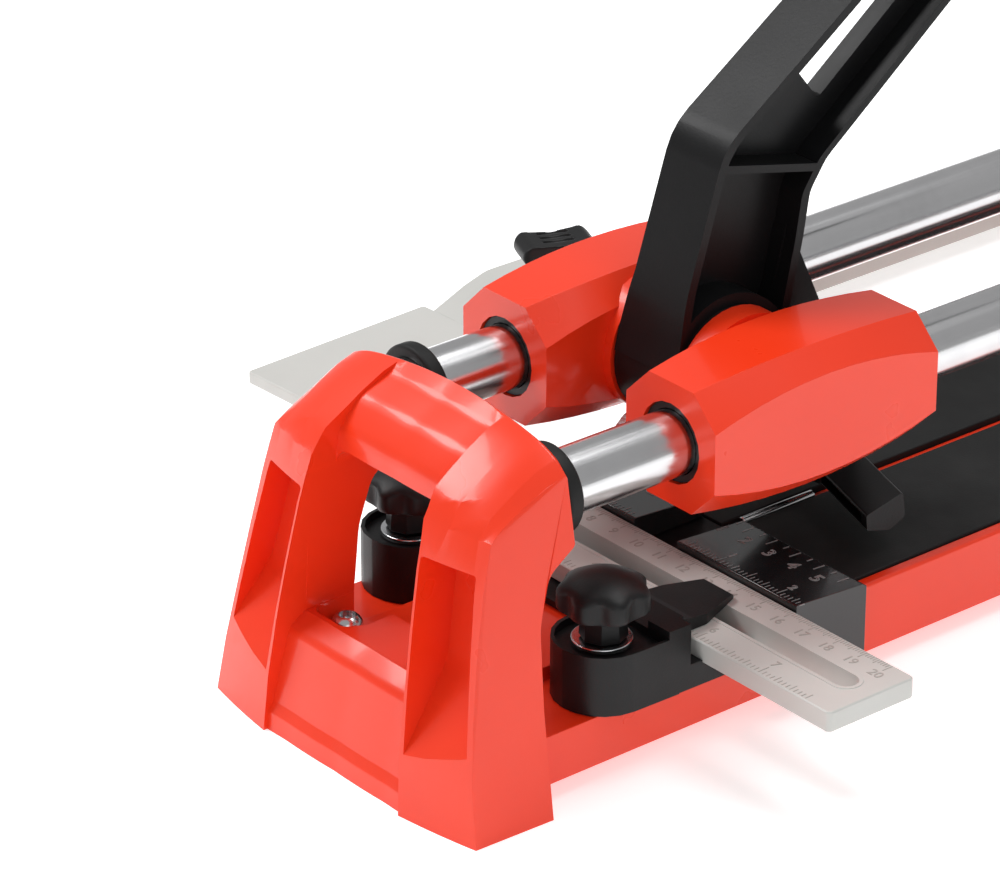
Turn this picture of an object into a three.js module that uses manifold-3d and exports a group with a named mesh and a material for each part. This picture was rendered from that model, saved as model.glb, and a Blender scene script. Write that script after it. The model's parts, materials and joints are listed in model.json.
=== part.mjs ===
// Manual tile cutter with two guide rails, a scoring and breaking lever, a sliding fence and a
// swing-out side support. Millimetres, +Z up. Y runs along the rails and the fence end is at -Y.
// The origin is on the bench, midway along the machine and midway over its whole width. All the
// sizes below are measured from the middle between the rails, and the group is moved at the end.
import * as THREE from "three";
import { mergeVertices } from "three/addons/utils/BufferGeometryUtils.js";
import Module from "manifold-3d";

const wasm = await Module();
wasm.setup();

// ---------------------------------------------------------------- driving dimensions
const MIDDLE_X = 38.9; // the middle between the rails, measured from the origin
const GAP = 0.3; // between pieces that touch
const HOLE_GAP = 0.4; // round a pin or screw in its hole
const ARC_STEP = Math.PI / 10; // one facet of a rounded corner

const LENGTH = 810; // over both feet
const RAIL_DIAMETER = 19.2;
const RAIL_WALL = 1.6;
const RAIL_SPACING = 71.7; // centre to centre
const RAIL_HEIGHT = 86.7; // centre above the bench

const BASE_WIDTH = 104;
const BASE_BOTTOM = 5.9;
const BASE_RIM_TOP = 28;
const BASE_WALL = 3.9;
const DECK_TOP = 25.5;
const DECK_THICKNESS = 3;
const RIDGE_WIDTH = 3.6;
const RIDGE_TOP = 26.9;
const PAD_TOP = 28.7;
const ROD_DIAMETER = 3.2;
const ROD_START = 6.5; // behind the scale blocks
const ROD_LENGTH = 28;

const FOOT_DEPTH = 31.5; // front to back at the bench
const FOOT_HALF_WIDTH = 58.5;
const FOOT_BOW = 6.4; // how far the middle of the front stands before its outer edges
const FOOT_TOP = 107;
const LEG_INNER = 30.5; // half the gap between the legs at the bench
const SLEEVE_DEPTH = 14; // how far the rail sockets stand behind the legs
const CROSS_TOP = 34.5;
const SOCKET_DEPTH = 13; // rail length held in a foot
const FOOT_SCREW_X = 23;
const FOOT_SCREW_HEAD = 9.5;
const FOOT_SCREW_SHANK = 5;

const RING_DIAMETER = 26.6;
const RING_WIDTH = 5;
const LEFT_RING_OFFSET = 17; // the front left ring stands further along its rail

const CARRIAGE_Y = -270.4; // middle of the carriage
const BARREL_LENGTH = 84;
const BARREL_HALF = 18.6; // half width and half height at the ends
const BARREL_FLAT = 9.2; // half of each end flat
const BUSH_LENGTH = 14;
const BUSH_WALL = 2.2;
const FLANGE_DIAMETER = 42;
const AXLE_DIAMETER = 12;

const LEVER_WIDTH = 26;
const LEVER_WEB = 4;
const LEVER_FLANGE = 3;
const HUB_DIAMETER = 40.6;
const ARM_ANGLE = THREE.MathUtils.degToRad(34.5);
const ARM_LENGTH = 190; // bend to grip
const GRIP_LENGTH = 118;
const GRIP_DIAMETER = 31;
const TANG_DIAMETER = 15;

const BREAKER_SPAN = 42; // half width over the wing tips
const BREAKER_SWEEP = 14; // how far the tips lie in front of the middle
const WHEEL_DIAMETER = 14;
const WHEEL_THICKNESS = 2;
const WHEEL_REACH = 40; // from the lever axle
const WHEEL_TILT = 50; // degrees forward of straight down, with the lever at rest
const HOLDER_DIAMETER = 11;

const RULER_LENGTH = 216.5;
const RULER_WIDTH = 32;
const RULER_THICKNESS = 6.3;
const RULER_Y = -301.8; // centre line
const SLOT_WIDTH = 7.4;
const SLOT_END = 7; // material left at the ruler's ends
const SEAT_TOP = 28;
const BLOCK_DEPTH = 27.1;
const BLOCK_INNER = 9.2;
const BLOCK_OUTER = 60;
const BLOCK_FRONT_TOP = 36.5;
const BLOCK_BACK_TOP = 34.5;
const BLOCK_SKIRT_BOTTOM = 12.4;
const BOSS_X = 42.2;
const BOSS_DIAMETER = 28.4;
const BOSS_Y = -342;
const STEP_BACK = -326; // the deck steps down in front of here, beside the middle
const BRACKET_TOP = 39.8;
const BRACKET_STOP_TOP = 42.3;
const BRACKET_FLOOR = 37.4;
const BRACKET_SKIRT_BOTTOM = 21.6;
const WASHER_DIAMETER = 17.6;
const WASHER_THICKNESS = 1.6;
const KNOB_DIAMETER = 26.8;
const KNOB_TOP = 59;
const KNOB_NECK = 14;
const STUD_DIAMETER = 6;
const TONGUE_WIDTH = 20;

const BAR_WIDTH = 36;
const BAR_THICKNESS = 6;
const BAR_LENGTH = 392;
const LINK_LENGTH = 114;
const LINK_WIDTH = 18;
const LINK_THICKNESS = 3.6;
const LINK_BOTTOM = 1.8;
const LINK_PIVOT_X = -42.5;
const LINK_Y = 165;
const PLATE_THICKNESS = 4.1;
const PLATE_LENGTH = 73;
const PLATE_WIDTH = 62;
const EYE_DIAMETER = 40;
const EYE_X = -162;
const EYE_Y = -187;
const PLATE_TURN = 2.5; // degrees out of line with the rails
const WING_SPAN = 27;

// ---------------------------------------------------------------- worked-out places
const railX = RAIL_SPACING / 2;
const railRadius = RAIL_DIAMETER / 2;
const halfLength = LENGTH / 2;
const footBack = halfLength - FOOT_DEPTH;
const sleeveBack = footBack - SLEEVE_DEPTH;
const boreRadius = railRadius + BUSH_WALL + GAP;
const rulerBottom = SEAT_TOP + GAP;
const rulerTop = rulerBottom + RULER_THICKNESS;
const rulerFront = RULER_Y - RULER_WIDTH / 2;
const rulerBack = RULER_Y + RULER_WIDTH / 2;
const blockFront = rulerBack + GAP;
const blockBack = blockFront + BLOCK_DEPTH;
const padFront = blockBack + GAP;
const padBack = footBack - GAP;
const baseHalf = BASE_WIDTH / 2;
const rimInner = baseHalf - BASE_WALL;
const tongueHalf = 24;
const leverHalf = LEVER_WIDTH / 2;
const flangeFace = leverHalf + 0.9; // inner face of the carriage flanges
const armDirection = [Math.cos(ARM_ANGLE), Math.sin(ARM_ANGLE)];
const armNormal = [-armDirection[1], armDirection[0]];
const plateTop = SEAT_TOP - 0.1;
const linkTop = LINK_BOTTOM + LINK_THICKNESS;
const barBottom = linkTop + GAP;
const barTop = barBottom + BAR_THICKNESS;
const barX = LINK_PIVOT_X - LINK_LENGTH;

// ---------------------------------------------------------------- materials
const finish = (color, roughness, metalness) => ({ color, roughness, metalness });
const RED = finish(0xe8432e, 0.3, 0);
const BLACK = finish(0x1c1c1c, 0.45, 0);
const RUBBER = finish(0x232323, 0.85, 0);
const STEEL = finish(0xb9bbbd, 0.28, 1);
const ZINC = finish(0xc4c6c9, 0.35, 1);
const LIGHT_GREY = finish(0xd5d6d1, 0.5, 0);
const CARBIDE = finish(0x77797c, 0.3, 1);

// ---------------------------------------------------------------- solids
function solid(geometry) {
  const bare = geometry.index ? geometry.toNonIndexed() : geometry.clone();
  bare.deleteAttribute("normal");
  bare.deleteAttribute("uv");
  const merged = mergeVertices(bare, 1e-4);
  const vertProperties = merged.attributes.position.array;
  const triVerts = new Uint32Array(merged.index.array);
  return new wasm.Manifold(new wasm.Mesh({ numProp: 3, vertProperties, triVerts }));
}

const root = new THREE.Group();

function addPiece(name, made, look) {
  const mesh = made.getMesh();
  const geometry = new THREE.BufferGeometry();
  geometry.setAttribute("position", new THREE.BufferAttribute(mesh.vertProperties, 3));
  geometry.setIndex(new THREE.BufferAttribute(mesh.triVerts, 1));
  geometry.computeVertexNormals();
  const piece = new THREE.Mesh(geometry, new THREE.MeshStandardMaterial(look));
  piece.name = name;
  root.add(piece);
}

// A closed outline from [a, b, corner radius] points. A radius that doesn't fit its edges is cut.
function outline(points) {
  const shape = [];
  const corners = points.map(([a, b]) => new THREE.Vector2(a, b));
  corners.forEach((corner, i) => {
    const asked = points[i][2] || 0;
    if (!asked) {
      shape.push(corner);
      return;
    }
    const before = corners.at(i - 1).clone().sub(corner);
    const after = corners[(i + 1) % corners.length].clone().sub(corner);
    const room = 0.49 * Math.min(before.length(), after.length());
    before.normalize();
    after.normalize();
    const half = Math.acos(THREE.MathUtils.clamp(before.dot(after), -1, 1)) / 2;
    const radius = Math.min(asked, room * Math.tan(half));
    const spread = before.clone().add(after).setLength(radius / Math.sin(half));
    const centre = corner.clone().add(spread);
    const start = corner.clone().addScaledVector(before, radius / Math.tan(half)).sub(centre);
    const turn = Math.PI - 2 * half;
    const side = Math.sign(after.cross(before)) || 1;
    const steps = Math.max(2, Math.ceil(turn / ARC_STEP));
    for (let k = 0; k <= steps; k++) {
      const angle = (side * turn * k) / steps;
      shape.push(start.clone().rotateAround(new THREE.Vector2(), angle).add(centre));
    }
  });
  return new THREE.Shape(shape);
}

function extrude(points, depth, bevel = 0) {
  const shape = points instanceof THREE.Shape ? points : outline(points);
  const settings = { depth: depth - 2 * bevel, bevelEnabled: bevel > 0 };
  const bevels = { bevelSize: bevel, bevelThickness: bevel, bevelOffset: -bevel, bevelSegments: 1 };
  const geometry = new THREE.ExtrudeGeometry(shape, { ...settings, ...bevels });
  return geometry.translate(0, 0, bevel);
}

// Moves every point of a geometry by a rule.
function placed(geometry, rule) {
  const position = geometry.attributes.position;
  const point = new THREE.Vector3();
  for (let i = 0; i < position.count; i++) {
    rule(point.fromBufferAttribute(position, i));
    position.setXYZ(i, point.x, point.y, point.z);
  }
  return geometry;
}

const alongX = new THREE.Matrix4().makeBasis(
  new THREE.Vector3(0, 1, 0),
  new THREE.Vector3(0, 0, 1),
  new THREE.Vector3(1, 0, 0),
);
const alongY = new THREE.Matrix4().makeBasis(
  new THREE.Vector3(-1, 0, 0),
  new THREE.Vector3(0, 0, 1),
  new THREE.Vector3(0, 1, 0),
);

// Prisms: an outline in Y-Z swept along X, in X-Z swept along Y, in X-Y swept along Z.
const prismX = (points, from, to, bevel) =>
  solid(extrude(points, to - from, bevel).applyMatrix4(alongX).translate(from, 0, 0));
const prismZ = (points, from, to, bevel) => solid(extrude(points, to - from, bevel).translate(0, 0, from));
function prismY(points, from, to, bevel) {
  const mirrored = points.map(([a, b, radius]) => [-a, b, radius]).reverse();
  return solid(extrude(mirrored, to - from, bevel).applyMatrix4(alongY).translate(0, from, 0));
}

// An outline in Y-Z swept along X in steps, its points then moved by a rule.
function shapedX(points, from, to, steps, rule) {
  const settings = { depth: to - from, bevelEnabled: false, steps };
  const geometry = new THREE.ExtrudeGeometry(outline(points), settings);
  return solid(placed(geometry.applyMatrix4(alongX).translate(from, 0, 0), rule));
}

function box(x0, x1, y0, y1, z0, z1) {
  const geometry = new THREE.BoxGeometry(x1 - x0, y1 - y0, z1 - z0);
  return solid(geometry.translate((x0 + x1) / 2, (y0 + y1) / 2, (z0 + z1) / 2));
}

function rectangle(a0, a1, b0, b1, radius = 0) {
  return [
    [a0, b0, radius],
    [a1, b0, radius],
    [a1, b1, radius],
    [a0, b1, radius],
  ];
}

// A turned piece: [radius, height] points, starting and ending on the axis, about +Z.
function latheAboutZ(profile, segments) {
  const points = profile.map(([r, h]) => new THREE.Vector2(r, h));
  return new THREE.LatheGeometry(points, segments).rotateX(Math.PI / 2);
}
const turned = (profile, segments = 24) => solid(latheAboutZ(profile, segments));
const rod = (radius, from, to, segments) =>
  turned([[0, from], [radius, from], [radius, to], [0, to]], segments);
const tube = (inner, outer, from, to, segments) =>
  turned([[inner, from], [outer, from], [outer, to], [inner, to], [inner, from]], segments);
const lieAlongX = (made) => made.rotate([0, 90, 0]);
const lieAlongY = (made) => made.rotate([-90, 0, 0]);

// A round rod along X, Y or Z through a centre given in the other two.
const rodX = (radius, x0, x1, y, z, segments) =>
  lieAlongX(rod(radius, x0, x1, segments)).translate([0, y, z]);
const rodY = (radius, y0, y1, x, z, segments) =>
  lieAlongY(rod(radius, y0, y1, segments)).translate([x, 0, z]);
const rodZ = (radius, z0, z1, x, y, segments) =>
  rod(radius, z0, z1, segments).translate([x, y, 0]);

const mirrorX = (made) => made.mirror([1, 0, 0]);
const mirrorY = (made) => made.mirror([0, 1, 0]);

// ---------------------------------------------------------------- base
function baseChannel() {
  const deckBottom = DECK_TOP - DECK_THICKNESS;
  const right = [
    [RIDGE_WIDTH / 2, DECK_TOP],
    [rimInner, DECK_TOP],
    [rimInner, BASE_RIM_TOP, 0.6],
    [baseHalf, BASE_RIM_TOP, 1.2],
    [baseHalf, BASE_BOTTOM],
    [baseHalf - DECK_THICKNESS, BASE_BOTTOM],
    [baseHalf - DECK_THICKNESS, deckBottom],
  ];
  const left = right.map(([x, z, radius]) => [-x, z, radius]).reverse();
  const ridge = [
    [-RIDGE_WIDTH / 2, RIDGE_TOP, 0.6],
    [RIDGE_WIDTH / 2, RIDGE_TOP, 0.6],
  ];
  const section = [...left, ...ridge, ...right].reverse();
  let made = prismY(section, -footBack + GAP, footBack - GAP);
  made = made.add(box(-tongueHalf, tongueHalf, -tongueEnd, tongueEnd, deckBottom, DECK_TOP));
  for (const y of [-LINK_Y, LINK_Y]) {
    made = made.add(rodZ(8, BASE_BOTTOM, deckBottom + 1, LINK_PIVOT_X, y, 24));
    made = made.subtract(rodZ(3 + HOLE_GAP, 0, deckBottom, LINK_PIVOT_X, y, 16));
  }
  for (const x of [-FOOT_SCREW_X, FOOT_SCREW_X]) {
    for (const end of [-1, 1]) {
      const hole = rodZ(FOOT_SCREW_SHANK / 2 + HOLE_GAP, 0, 2 * DECK_TOP, x, end * footScrewY, 16);
      made = made.subtract(hole);
    }
  }
  made = made.subtract(box(-RIDGE_WIDTH, RIDGE_WIDTH, -halfLength, padFront, DECK_TOP, PAD_TOP));
  made = steppedDown(made);
  const groove = rodRadius + GAP;
  const rodFloor = rodHeight - rodRadius - GAP;
  return made.subtract(box(-groove, groove, rodFront - GAP, rodBack + GAP, rodFloor, PAD_TOP));
}

// The front corners of the deck step down and carry the two brackets.
function steppedDown(made) {
  const stepTop = BRACKET_SKIRT_BOTTOM - GAP;
  const inner = BOSS_X - BOSS_DIAMETER / 2 - 1;
  const front = -footBack + GAP;
  const back = STEP_BACK + DECK_THICKNESS;
  for (const end of [-1, 1]) {
    const walls = box(inner - DECK_THICKNESS, baseHalf - 1, front, back, stepTop - DECK_THICKNESS, DECK_TOP);
    const room = box(inner, baseHalf + 1, front - 1, STEP_BACK, stepTop, PAD_TOP);
    const hole = rodZ(studRadius + HOLE_GAP, 0, PAD_TOP, BOSS_X, BOSS_Y, 16);
    const fill = end > 0 ? walls : mirrorX(walls);
    const cut = end > 0 ? room.add(hole) : mirrorX(room.add(hole));
    made = made.add(fill).subtract(cut);
  }
  return made;
}

const footScrewY = footBack + 7;
const tongueEnd = halfLength - 13;
const seatFront = STEP_BACK;
const rodRadius = ROD_DIAMETER / 2;
const rodHeight = PAD_TOP - 0.9;
const rodFront = blockBack + ROD_START;
const rodBack = rodFront + ROD_LENGTH;

const padInner = RIDGE_WIDTH / 2 + GAP;
const padSection = () => rectangle(padInner, rimInner - GAP, DECK_TOP + GAP, PAD_TOP, 0.5);
const pad = () => prismY(padSection(), padFront, padBack);
const breakingRod = () => rodY(rodRadius, rodFront, rodBack, 0, rodHeight, 16);

// ---------------------------------------------------------------- feet
const footFront = -halfLength + 0.72 * FOOT_BOW; // at the outer edges
const sleeve = -sleeveBack;

// Gives a straight-sided foot its lean, its bowed front and its crowned top.
function footRule(point) {
  const across = Math.sin((point.x * Math.PI) / 2 / FOOT_HALF_WIDTH);
  const { y, z } = point;
  const toBack = THREE.MathUtils.clamp((y - footFront) / (sleeve - footFront), 0, 1);
  const frontHalf = FOOT_HALF_WIDTH - 0.19 * z + 0.0005 * z * z;
  const backHalf = FOOT_HALF_WIDTH + 1.4 - 0.115 * z;
  const bow = FOOT_BOW * (1 - across * across) * THREE.MathUtils.clamp((sleeve - 15 - y) / 5, 0, 1);
  const corner = Math.max(0, (Math.abs(across) - 0.82) / 0.18);
  const drop = (6 * across * across + 3.5 * corner * corner) * THREE.MathUtils.clamp((z - 85) / 15, 0, 1);
  point.x = across * THREE.MathUtils.lerp(frontHalf, backHalf, toBack);
  point.y -= bow;
  point.z -= drop;
}

function foot() {
  const back = -footBack;
  const rise = [
    [0, 0],
    [1.5, 20],
    [4.7, 40],
    [8.4, 60],
    [13, 80],
    [17.1, 90],
    [25.5, 100.3],
    [34, 105],
  ];
  const frontLine = new THREE.SplineCurve(rise.map(([y, z]) => new THREE.Vector2(footFront + y, z)));
  const side = [
    [back, 0],
    [back, 32],
    [back + 1, 56, 20],
    [back + 5, 70, 8],
    [sleeve, 76.5, 1.5],
    [sleeve, FOOT_TOP, 1],
    ...frontLine.getPoints(8).reverse().map(({ x, y }) => [x, y]),
  ];
  let made = shapedX(side, -FOOT_HALF_WIDTH, FOOT_HALF_WIDTH, 8, footRule);
  const window = [
    [1.9 - LEG_INNER, CROSS_TOP],
    [LEG_INNER - 1.9, CROSS_TOP],
    [LEG_INNER - 5.5, 84, 6],
    [5.5 - LEG_INNER, 84, 6],
  ];
  made = made.subtract(prismY(window, -halfLength - 5, sleeve + 1));
  // The bar between the legs and the block below it stand back from the legs' fronts.
  const rightLeg = [
    [LEG_INNER, -1],
    [LEG_INNER - 2.2, 40],
    [LEG_INNER - 5.3, 80],
    [LEG_INNER - 7, 95],
    [LEG_INNER - 8.5, 115],
  ];
  const gap = prismY([...rightLeg, ...rightLeg.map(([x, z]) => [-x, z]).reverse()], -halfLength - 5, sleeve);
  const ahead = -halfLength - 4;
  const bar = [
    [ahead, 60],
    [footFront + 18.9, 60],
    [footFront + 18.9, 84, 4],
    [footFront + 18.9, 90, 10],
    [footFront + 26, 98.3, 10],
    [footFront + 36, 102.5, 10],
    [sleeve + 1, FOOT_TOP + 0.5],
    [sleeve + 1, FOOT_TOP + 9],
    [ahead, FOOT_TOP + 9],
  ];
  const block = [
    [ahead, -1],
    [-halfLength + 1.4, -1],
    [-halfLength + 1.8, 5.5, 2],
    [-halfLength + 3.4, 8.8, 2],
    [-halfLength + 8.6, 30.5, 5],
    [-halfLength + 14.5, CROSS_TOP + 0.1],
    [-halfLength + 14.5, 60],
    [ahead, 60],
  ];
  const roomX = [-LEG_INNER - 1, LEG_INNER + 1];
  const cuts = prismX(bar, ...roomX).add(prismX(block, ...roomX));
  made = made.subtract(cuts.intersect(gap));
  for (const end of [-1, 1]) made = made.subtract(legPocket(end)).subtract(screwNotch(end));
  // Underneath, the tongue of the base lies in a pocket that is open to the back.
  const tongueRoom = tongueHalf + GAP;
  const roomTop = DECK_TOP + GAP;
  const roomBottom = DECK_TOP - DECK_THICKNESS - GAP;
  const tongueStart = -tongueEnd - GAP;
  made = made.subtract(box(-tongueRoom, tongueRoom, tongueStart, back + 5, roomBottom, roomTop));
  for (const x of [-railX, railX]) {
    made = made.subtract(rodY(railRadius + GAP, sleeve - SOCKET_DEPTH, sleeve + 1, x, RAIL_HEIGHT, 32));
  }
  return made;
}

// A tall pocket in the front of each leg, deepest at its top.
function legPocket(end) {
  const top = 74.8;
  const wedge = [
    [-halfLength - 4, 15],
    [footFront - 3.4, 18],
    [footFront + 0.4, 23],
    [footFront + 14.4, 42, 14],
    [footFront + 18.9, 65.5],
    [footFront + 20.9, top],
    [-halfLength - 4, top],
  ];
  const room = [
    [LEG_INNER + 0.5, 17.5, 1.5],
    [FOOT_HALF_WIDTH - 5.3, 19, 1.5],
    [FOOT_HALF_WIDTH - 13.2, top, 1],
    [LEG_INNER - 4.1, top, 1],
  ];
  const depth = [-halfLength - 5, footFront + 24];
  const made = prismX(wedge, LEG_INNER - 6, FOOT_HALF_WIDTH).intersect(prismY(room, ...depth));
  return end > 0 ? made : mirrorX(made);
}

// A notch from the back of the lower block, which leaves room for a foot screw's head.
function screwNotch(end) {
  const back = -footBack;
  const notch = [
    [11, back + 1],
    [10.5, back - 9, 3],
    [14, back - 15.5, 3],
    [LEG_INNER - 2, back - 15.5, 4],
    [LEG_INNER - 2, back + 1],
  ];
  const floor = DECK_TOP + 2.5;
  const hole = rodZ(FOOT_SCREW_SHANK / 2 + HOLE_GAP, 0, CROSS_TOP, FOOT_SCREW_X, -footScrewY, 12);
  const made = prismZ(notch, floor, CROSS_TOP + 3).add(hole);
  return end > 0 ? made : mirrorX(made);
}

function footScrew() {
  const seat = DECK_TOP + 2.5 + GAP;
  const head = FOOT_SCREW_HEAD / 2;
  const shank = FOOT_SCREW_SHANK / 2;
  const profile = [[0, 12], [shank, 12], [shank, seat], [head, seat], [head, seat + 1.4]];
  const dome = [[head * 0.8, seat + 3], [2.4, seat + 3.6], [2.4, seat + 1.6], [0, seat + 1.6]];
  return turned([...profile, ...dome], 12).translate([FOOT_SCREW_X, -footScrewY, 0]);
}

// ---------------------------------------------------------------- rails and rings
const railSegments = 32;
const railEnd = sleeveBack + SOCKET_DEPTH - GAP;
function rail() {
  const made = tube(railRadius - RAIL_WALL, railRadius, -railEnd, railEnd, railSegments);
  return lieAlongY(made).translate([railX, 0, RAIL_HEIGHT]);
}

function bumperRing(start) {
  const inner = railRadius + GAP;
  const outer = RING_DIAMETER / 2;
  const end = start + RING_WIDTH;
  const round = 0.7;
  const profile = [
    [inner, start],
    [outer - round, start],
    [outer, start + round],
    [outer, end - round],
    [outer - round, end],
    [inner, end],
    [inner, start],
  ];
  return lieAlongY(turned(profile, 20)).translate([railX, 0, RAIL_HEIGHT]);
}

// ---------------------------------------------------------------- carriage
// The barrel is eight-sided. Its flats are narrow at the ends and widest in the middle.
function barrel() {
  const steps = 10;
  const points = [];
  for (let i = 0; i <= steps; i++) {
    const t = i / steps;
    const swell = 4 * t * (1 - t);
    const y = CARRIAGE_Y - BARREL_LENGTH / 2 + BARREL_LENGTH * t;
    const sideFlat = BARREL_FLAT + 6.2 * swell;
    const topFlat = BARREL_FLAT + 2 * swell;
    const top = BARREL_HALF + 3 * swell;
    const corners = [
      [BARREL_HALF, -sideFlat],
      [BARREL_HALF, sideFlat],
      [topFlat, top],
      [-topFlat, top],
      [-BARREL_HALF, sideFlat],
      [-BARREL_HALF, -sideFlat],
      [-topFlat, -top],
      [topFlat, -top],
    ];
    for (const [x, z] of corners) points.push(railX + x, y, RAIL_HEIGHT + z);
  }
  const faces = [];
  for (let i = 0; i < steps; i++) {
    for (let k = 0; k < 8; k++) {
      const a = 8 * i + k;
      const b = 8 * i + ((k + 1) % 8);
      faces.push(a, b, a + 8, b, b + 8, a + 8);
    }
  }
  for (let k = 1; k < 7; k++) {
    faces.push(0, k + 1, k);
    faces.push(8 * steps, 8 * steps + k, 8 * steps + k + 1);
  }
  const geometry = new THREE.BufferGeometry();
  geometry.setAttribute("position", new THREE.Float32BufferAttribute(points, 3));
  geometry.setIndex(faces.reverse());
  let made = solid(geometry);
  const flangeRoot = railX - BARREL_HALF + 4;
  made = made.add(rodX(FLANGE_DIAMETER / 2, flangeFace, flangeRoot, CARRIAGE_Y, RAIL_HEIGHT, 36));
  const ends = [CARRIAGE_Y - BARREL_LENGTH, CARRIAGE_Y + BARREL_LENGTH];
  made = made.subtract(rodY(boreRadius, ...ends, railX, RAIL_HEIGHT, 20));
  return made.subtract(rodX(axleRadius + GAP, 0, axleEnd + GAP, CARRIAGE_Y, RAIL_HEIGHT, 24));
}

const axleRadius = AXLE_DIAMETER / 2;
const axleEnd = railX - boreRadius - 2;
const pivotAxle = () => rodX(axleRadius, -axleEnd, axleEnd, CARRIAGE_Y, RAIL_HEIGHT, 24);

function bush(end) {
  const outer = boreRadius - GAP;
  const mouth = CARRIAGE_Y + end * (BARREL_LENGTH / 2 - 1);
  const from = end < 0 ? mouth : mouth - BUSH_LENGTH;
  const lining = tube(railRadius + GAP, outer, from, from + BUSH_LENGTH, 20);
  return lieAlongY(lining).translate([railX, 0, RAIL_HEIGHT]);
}

// ---------------------------------------------------------------- lever
// Points beside the axle, in Y-Z.
const fromAxle = (y, z) => [CARRIAGE_Y + y, RAIL_HEIGHT + z];
const topBend = [-1.5, 68.5];
const rearBend = [37.5, 55.5];
const armTip = [
  topBend[0] + armDirection[0] * ARM_LENGTH,
  topBend[1] + armDirection[1] * ARM_LENGTH,
];
const ARM_TIP_DEPTH = 25;
const tipRear = [armTip[0] - armNormal[0] * ARM_TIP_DEPTH, armTip[1] - armNormal[1] * ARM_TIP_DEPTH];
const tipCentre = [(armTip[0] + tipRear[0]) / 2, (armTip[1] + tipRear[1]) / 2];

// The lever's side outline, drawn in by a margin for the pockets between its flanges.
function leverOutline(inset) {
  const side = 0.2 * inset;
  return [
    [...fromAxle(-HUB_DIAMETER / 2 + inset, 4), 0],
    [...fromAxle(HUB_DIAMETER / 2 - inset, 4), 0],
    [...fromAxle(28.6 - inset, 30), 60],
    [...fromAxle(31.5 - inset, 47), 8],
    [...fromAxle(rearBend[0] - inset * 0.9, rearBend[1] + side), 12],
    [...fromAxle(tipRear[0] + armNormal[0] * inset, tipRear[1] + armNormal[1] * inset), 0],
    [...fromAxle(armTip[0] - armNormal[0] * inset, armTip[1] - armNormal[1] * inset), 0],
    [...fromAxle(topBend[0] + inset * 0.8, topBend[1] - inset * 0.6), 20],
    [...fromAxle(-16.2 + inset, 22), 60],
  ];
}

function leverCasting() {
  const hubRadius = HUB_DIAMETER / 2;
  let made = prismX(leverOutline(0), -leverHalf, leverHalf);
  const pocket = leverOutline(LEVER_FLANGE);
  let rooms = prismX(pocket, LEVER_WEB / 2, leverHalf + 1);
  rooms = rooms.add(prismX(pocket, -leverHalf - 1, -LEVER_WEB / 2));
  const rib = [fromAxle(-30, 68), fromAxle(60, 46), fromAxle(60, 48.4), fromAxle(-30, 70.4)];
  rooms = rooms.subtract(prismX(rib, -leverHalf, leverHalf));
  rooms = rooms.subtract(rodX(hubRadius + 3.5, -leverHalf, leverHalf, CARRIAGE_Y, RAIL_HEIGHT, 36));
  const tipWall = [armTip[0] - armDirection[0] * 10, armTip[1] - armDirection[1] * 10];
  const wall = [
    fromAxle(tipWall[0] + 40 * armNormal[0], tipWall[1] + 40 * armNormal[1]),
    fromAxle(tipWall[0] - 60 * armNormal[0], tipWall[1] - 60 * armNormal[1]),
    fromAxle(tipWall[0] - 60 * armNormal[0] + 60, tipWall[1] - 60 * armNormal[1] + 60),
    fromAxle(tipWall[0] + 40 * armNormal[0] + 60, tipWall[1] + 40 * armNormal[1] + 60),
  ];
  rooms = rooms.subtract(prismX(wall, -leverHalf, leverHalf));
  made = made.subtract(rooms);
  // The casting is widest at the hub and narrows towards the grip.
  const right = [
    [leverHalf, 0],
    [leverHalf, RAIL_HEIGHT + 10],
    [leverHalf - 1.7, RAIL_HEIGHT + 28],
    [leverHalf - 2, RAIL_HEIGHT + 70],
    [leverHalf - 3.4, RAIL_HEIGHT + 200],
  ];
  const face = [...right, ...right.map(([x, z]) => [-x, z]).reverse()];
  made = made.intersect(prismY(face, CARRIAGE_Y - 60, CARRIAGE_Y + 300));
  made = made.add(rodX(hubRadius, -leverHalf, leverHalf, CARRIAGE_Y, RAIL_HEIGHT, 36));
  made = made.add(breakerArm());
  made = made.subtract(rodX(axleRadius + GAP, -leverHalf - 1, leverHalf + 1, CARRIAGE_Y, RAIL_HEIGHT, 24));
  made = made.subtract(webSlot());
  made = made.subtract(holderSocket());
  made = made.subtract(breakerScrewHole());
  return made.add(gripTang());
}

// A point a way along the arm and a way in from its upper edge.
const onArm = (along, depth) =>
  fromAxle(
    topBend[0] + armDirection[0] * along - armNormal[0] * depth,
    topBend[1] + armDirection[1] * along - armNormal[1] * depth,
  );

function webSlot() {
  const slot = [
    [...onArm(35.5, 9), 1.5],
    [...onArm(36.5, 23.5), 1.5],
    [...onArm(ARM_LENGTH - 30, 17), 3],
    [...onArm(ARM_LENGTH - 30, 9), 3],
  ];
  return prismX(slot, -LEVER_WEB, LEVER_WEB);
}

function gripTang() {
  const tilt = THREE.MathUtils.radToDeg(ARM_ANGLE);
  const tang = rod(TANG_DIAMETER / 2, -6, GRIP_LENGTH - 10, 24).rotate([tilt - 90, 0, 0]);
  return tang.translate([0, ...fromAxle(...tipCentre)]);
}

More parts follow.
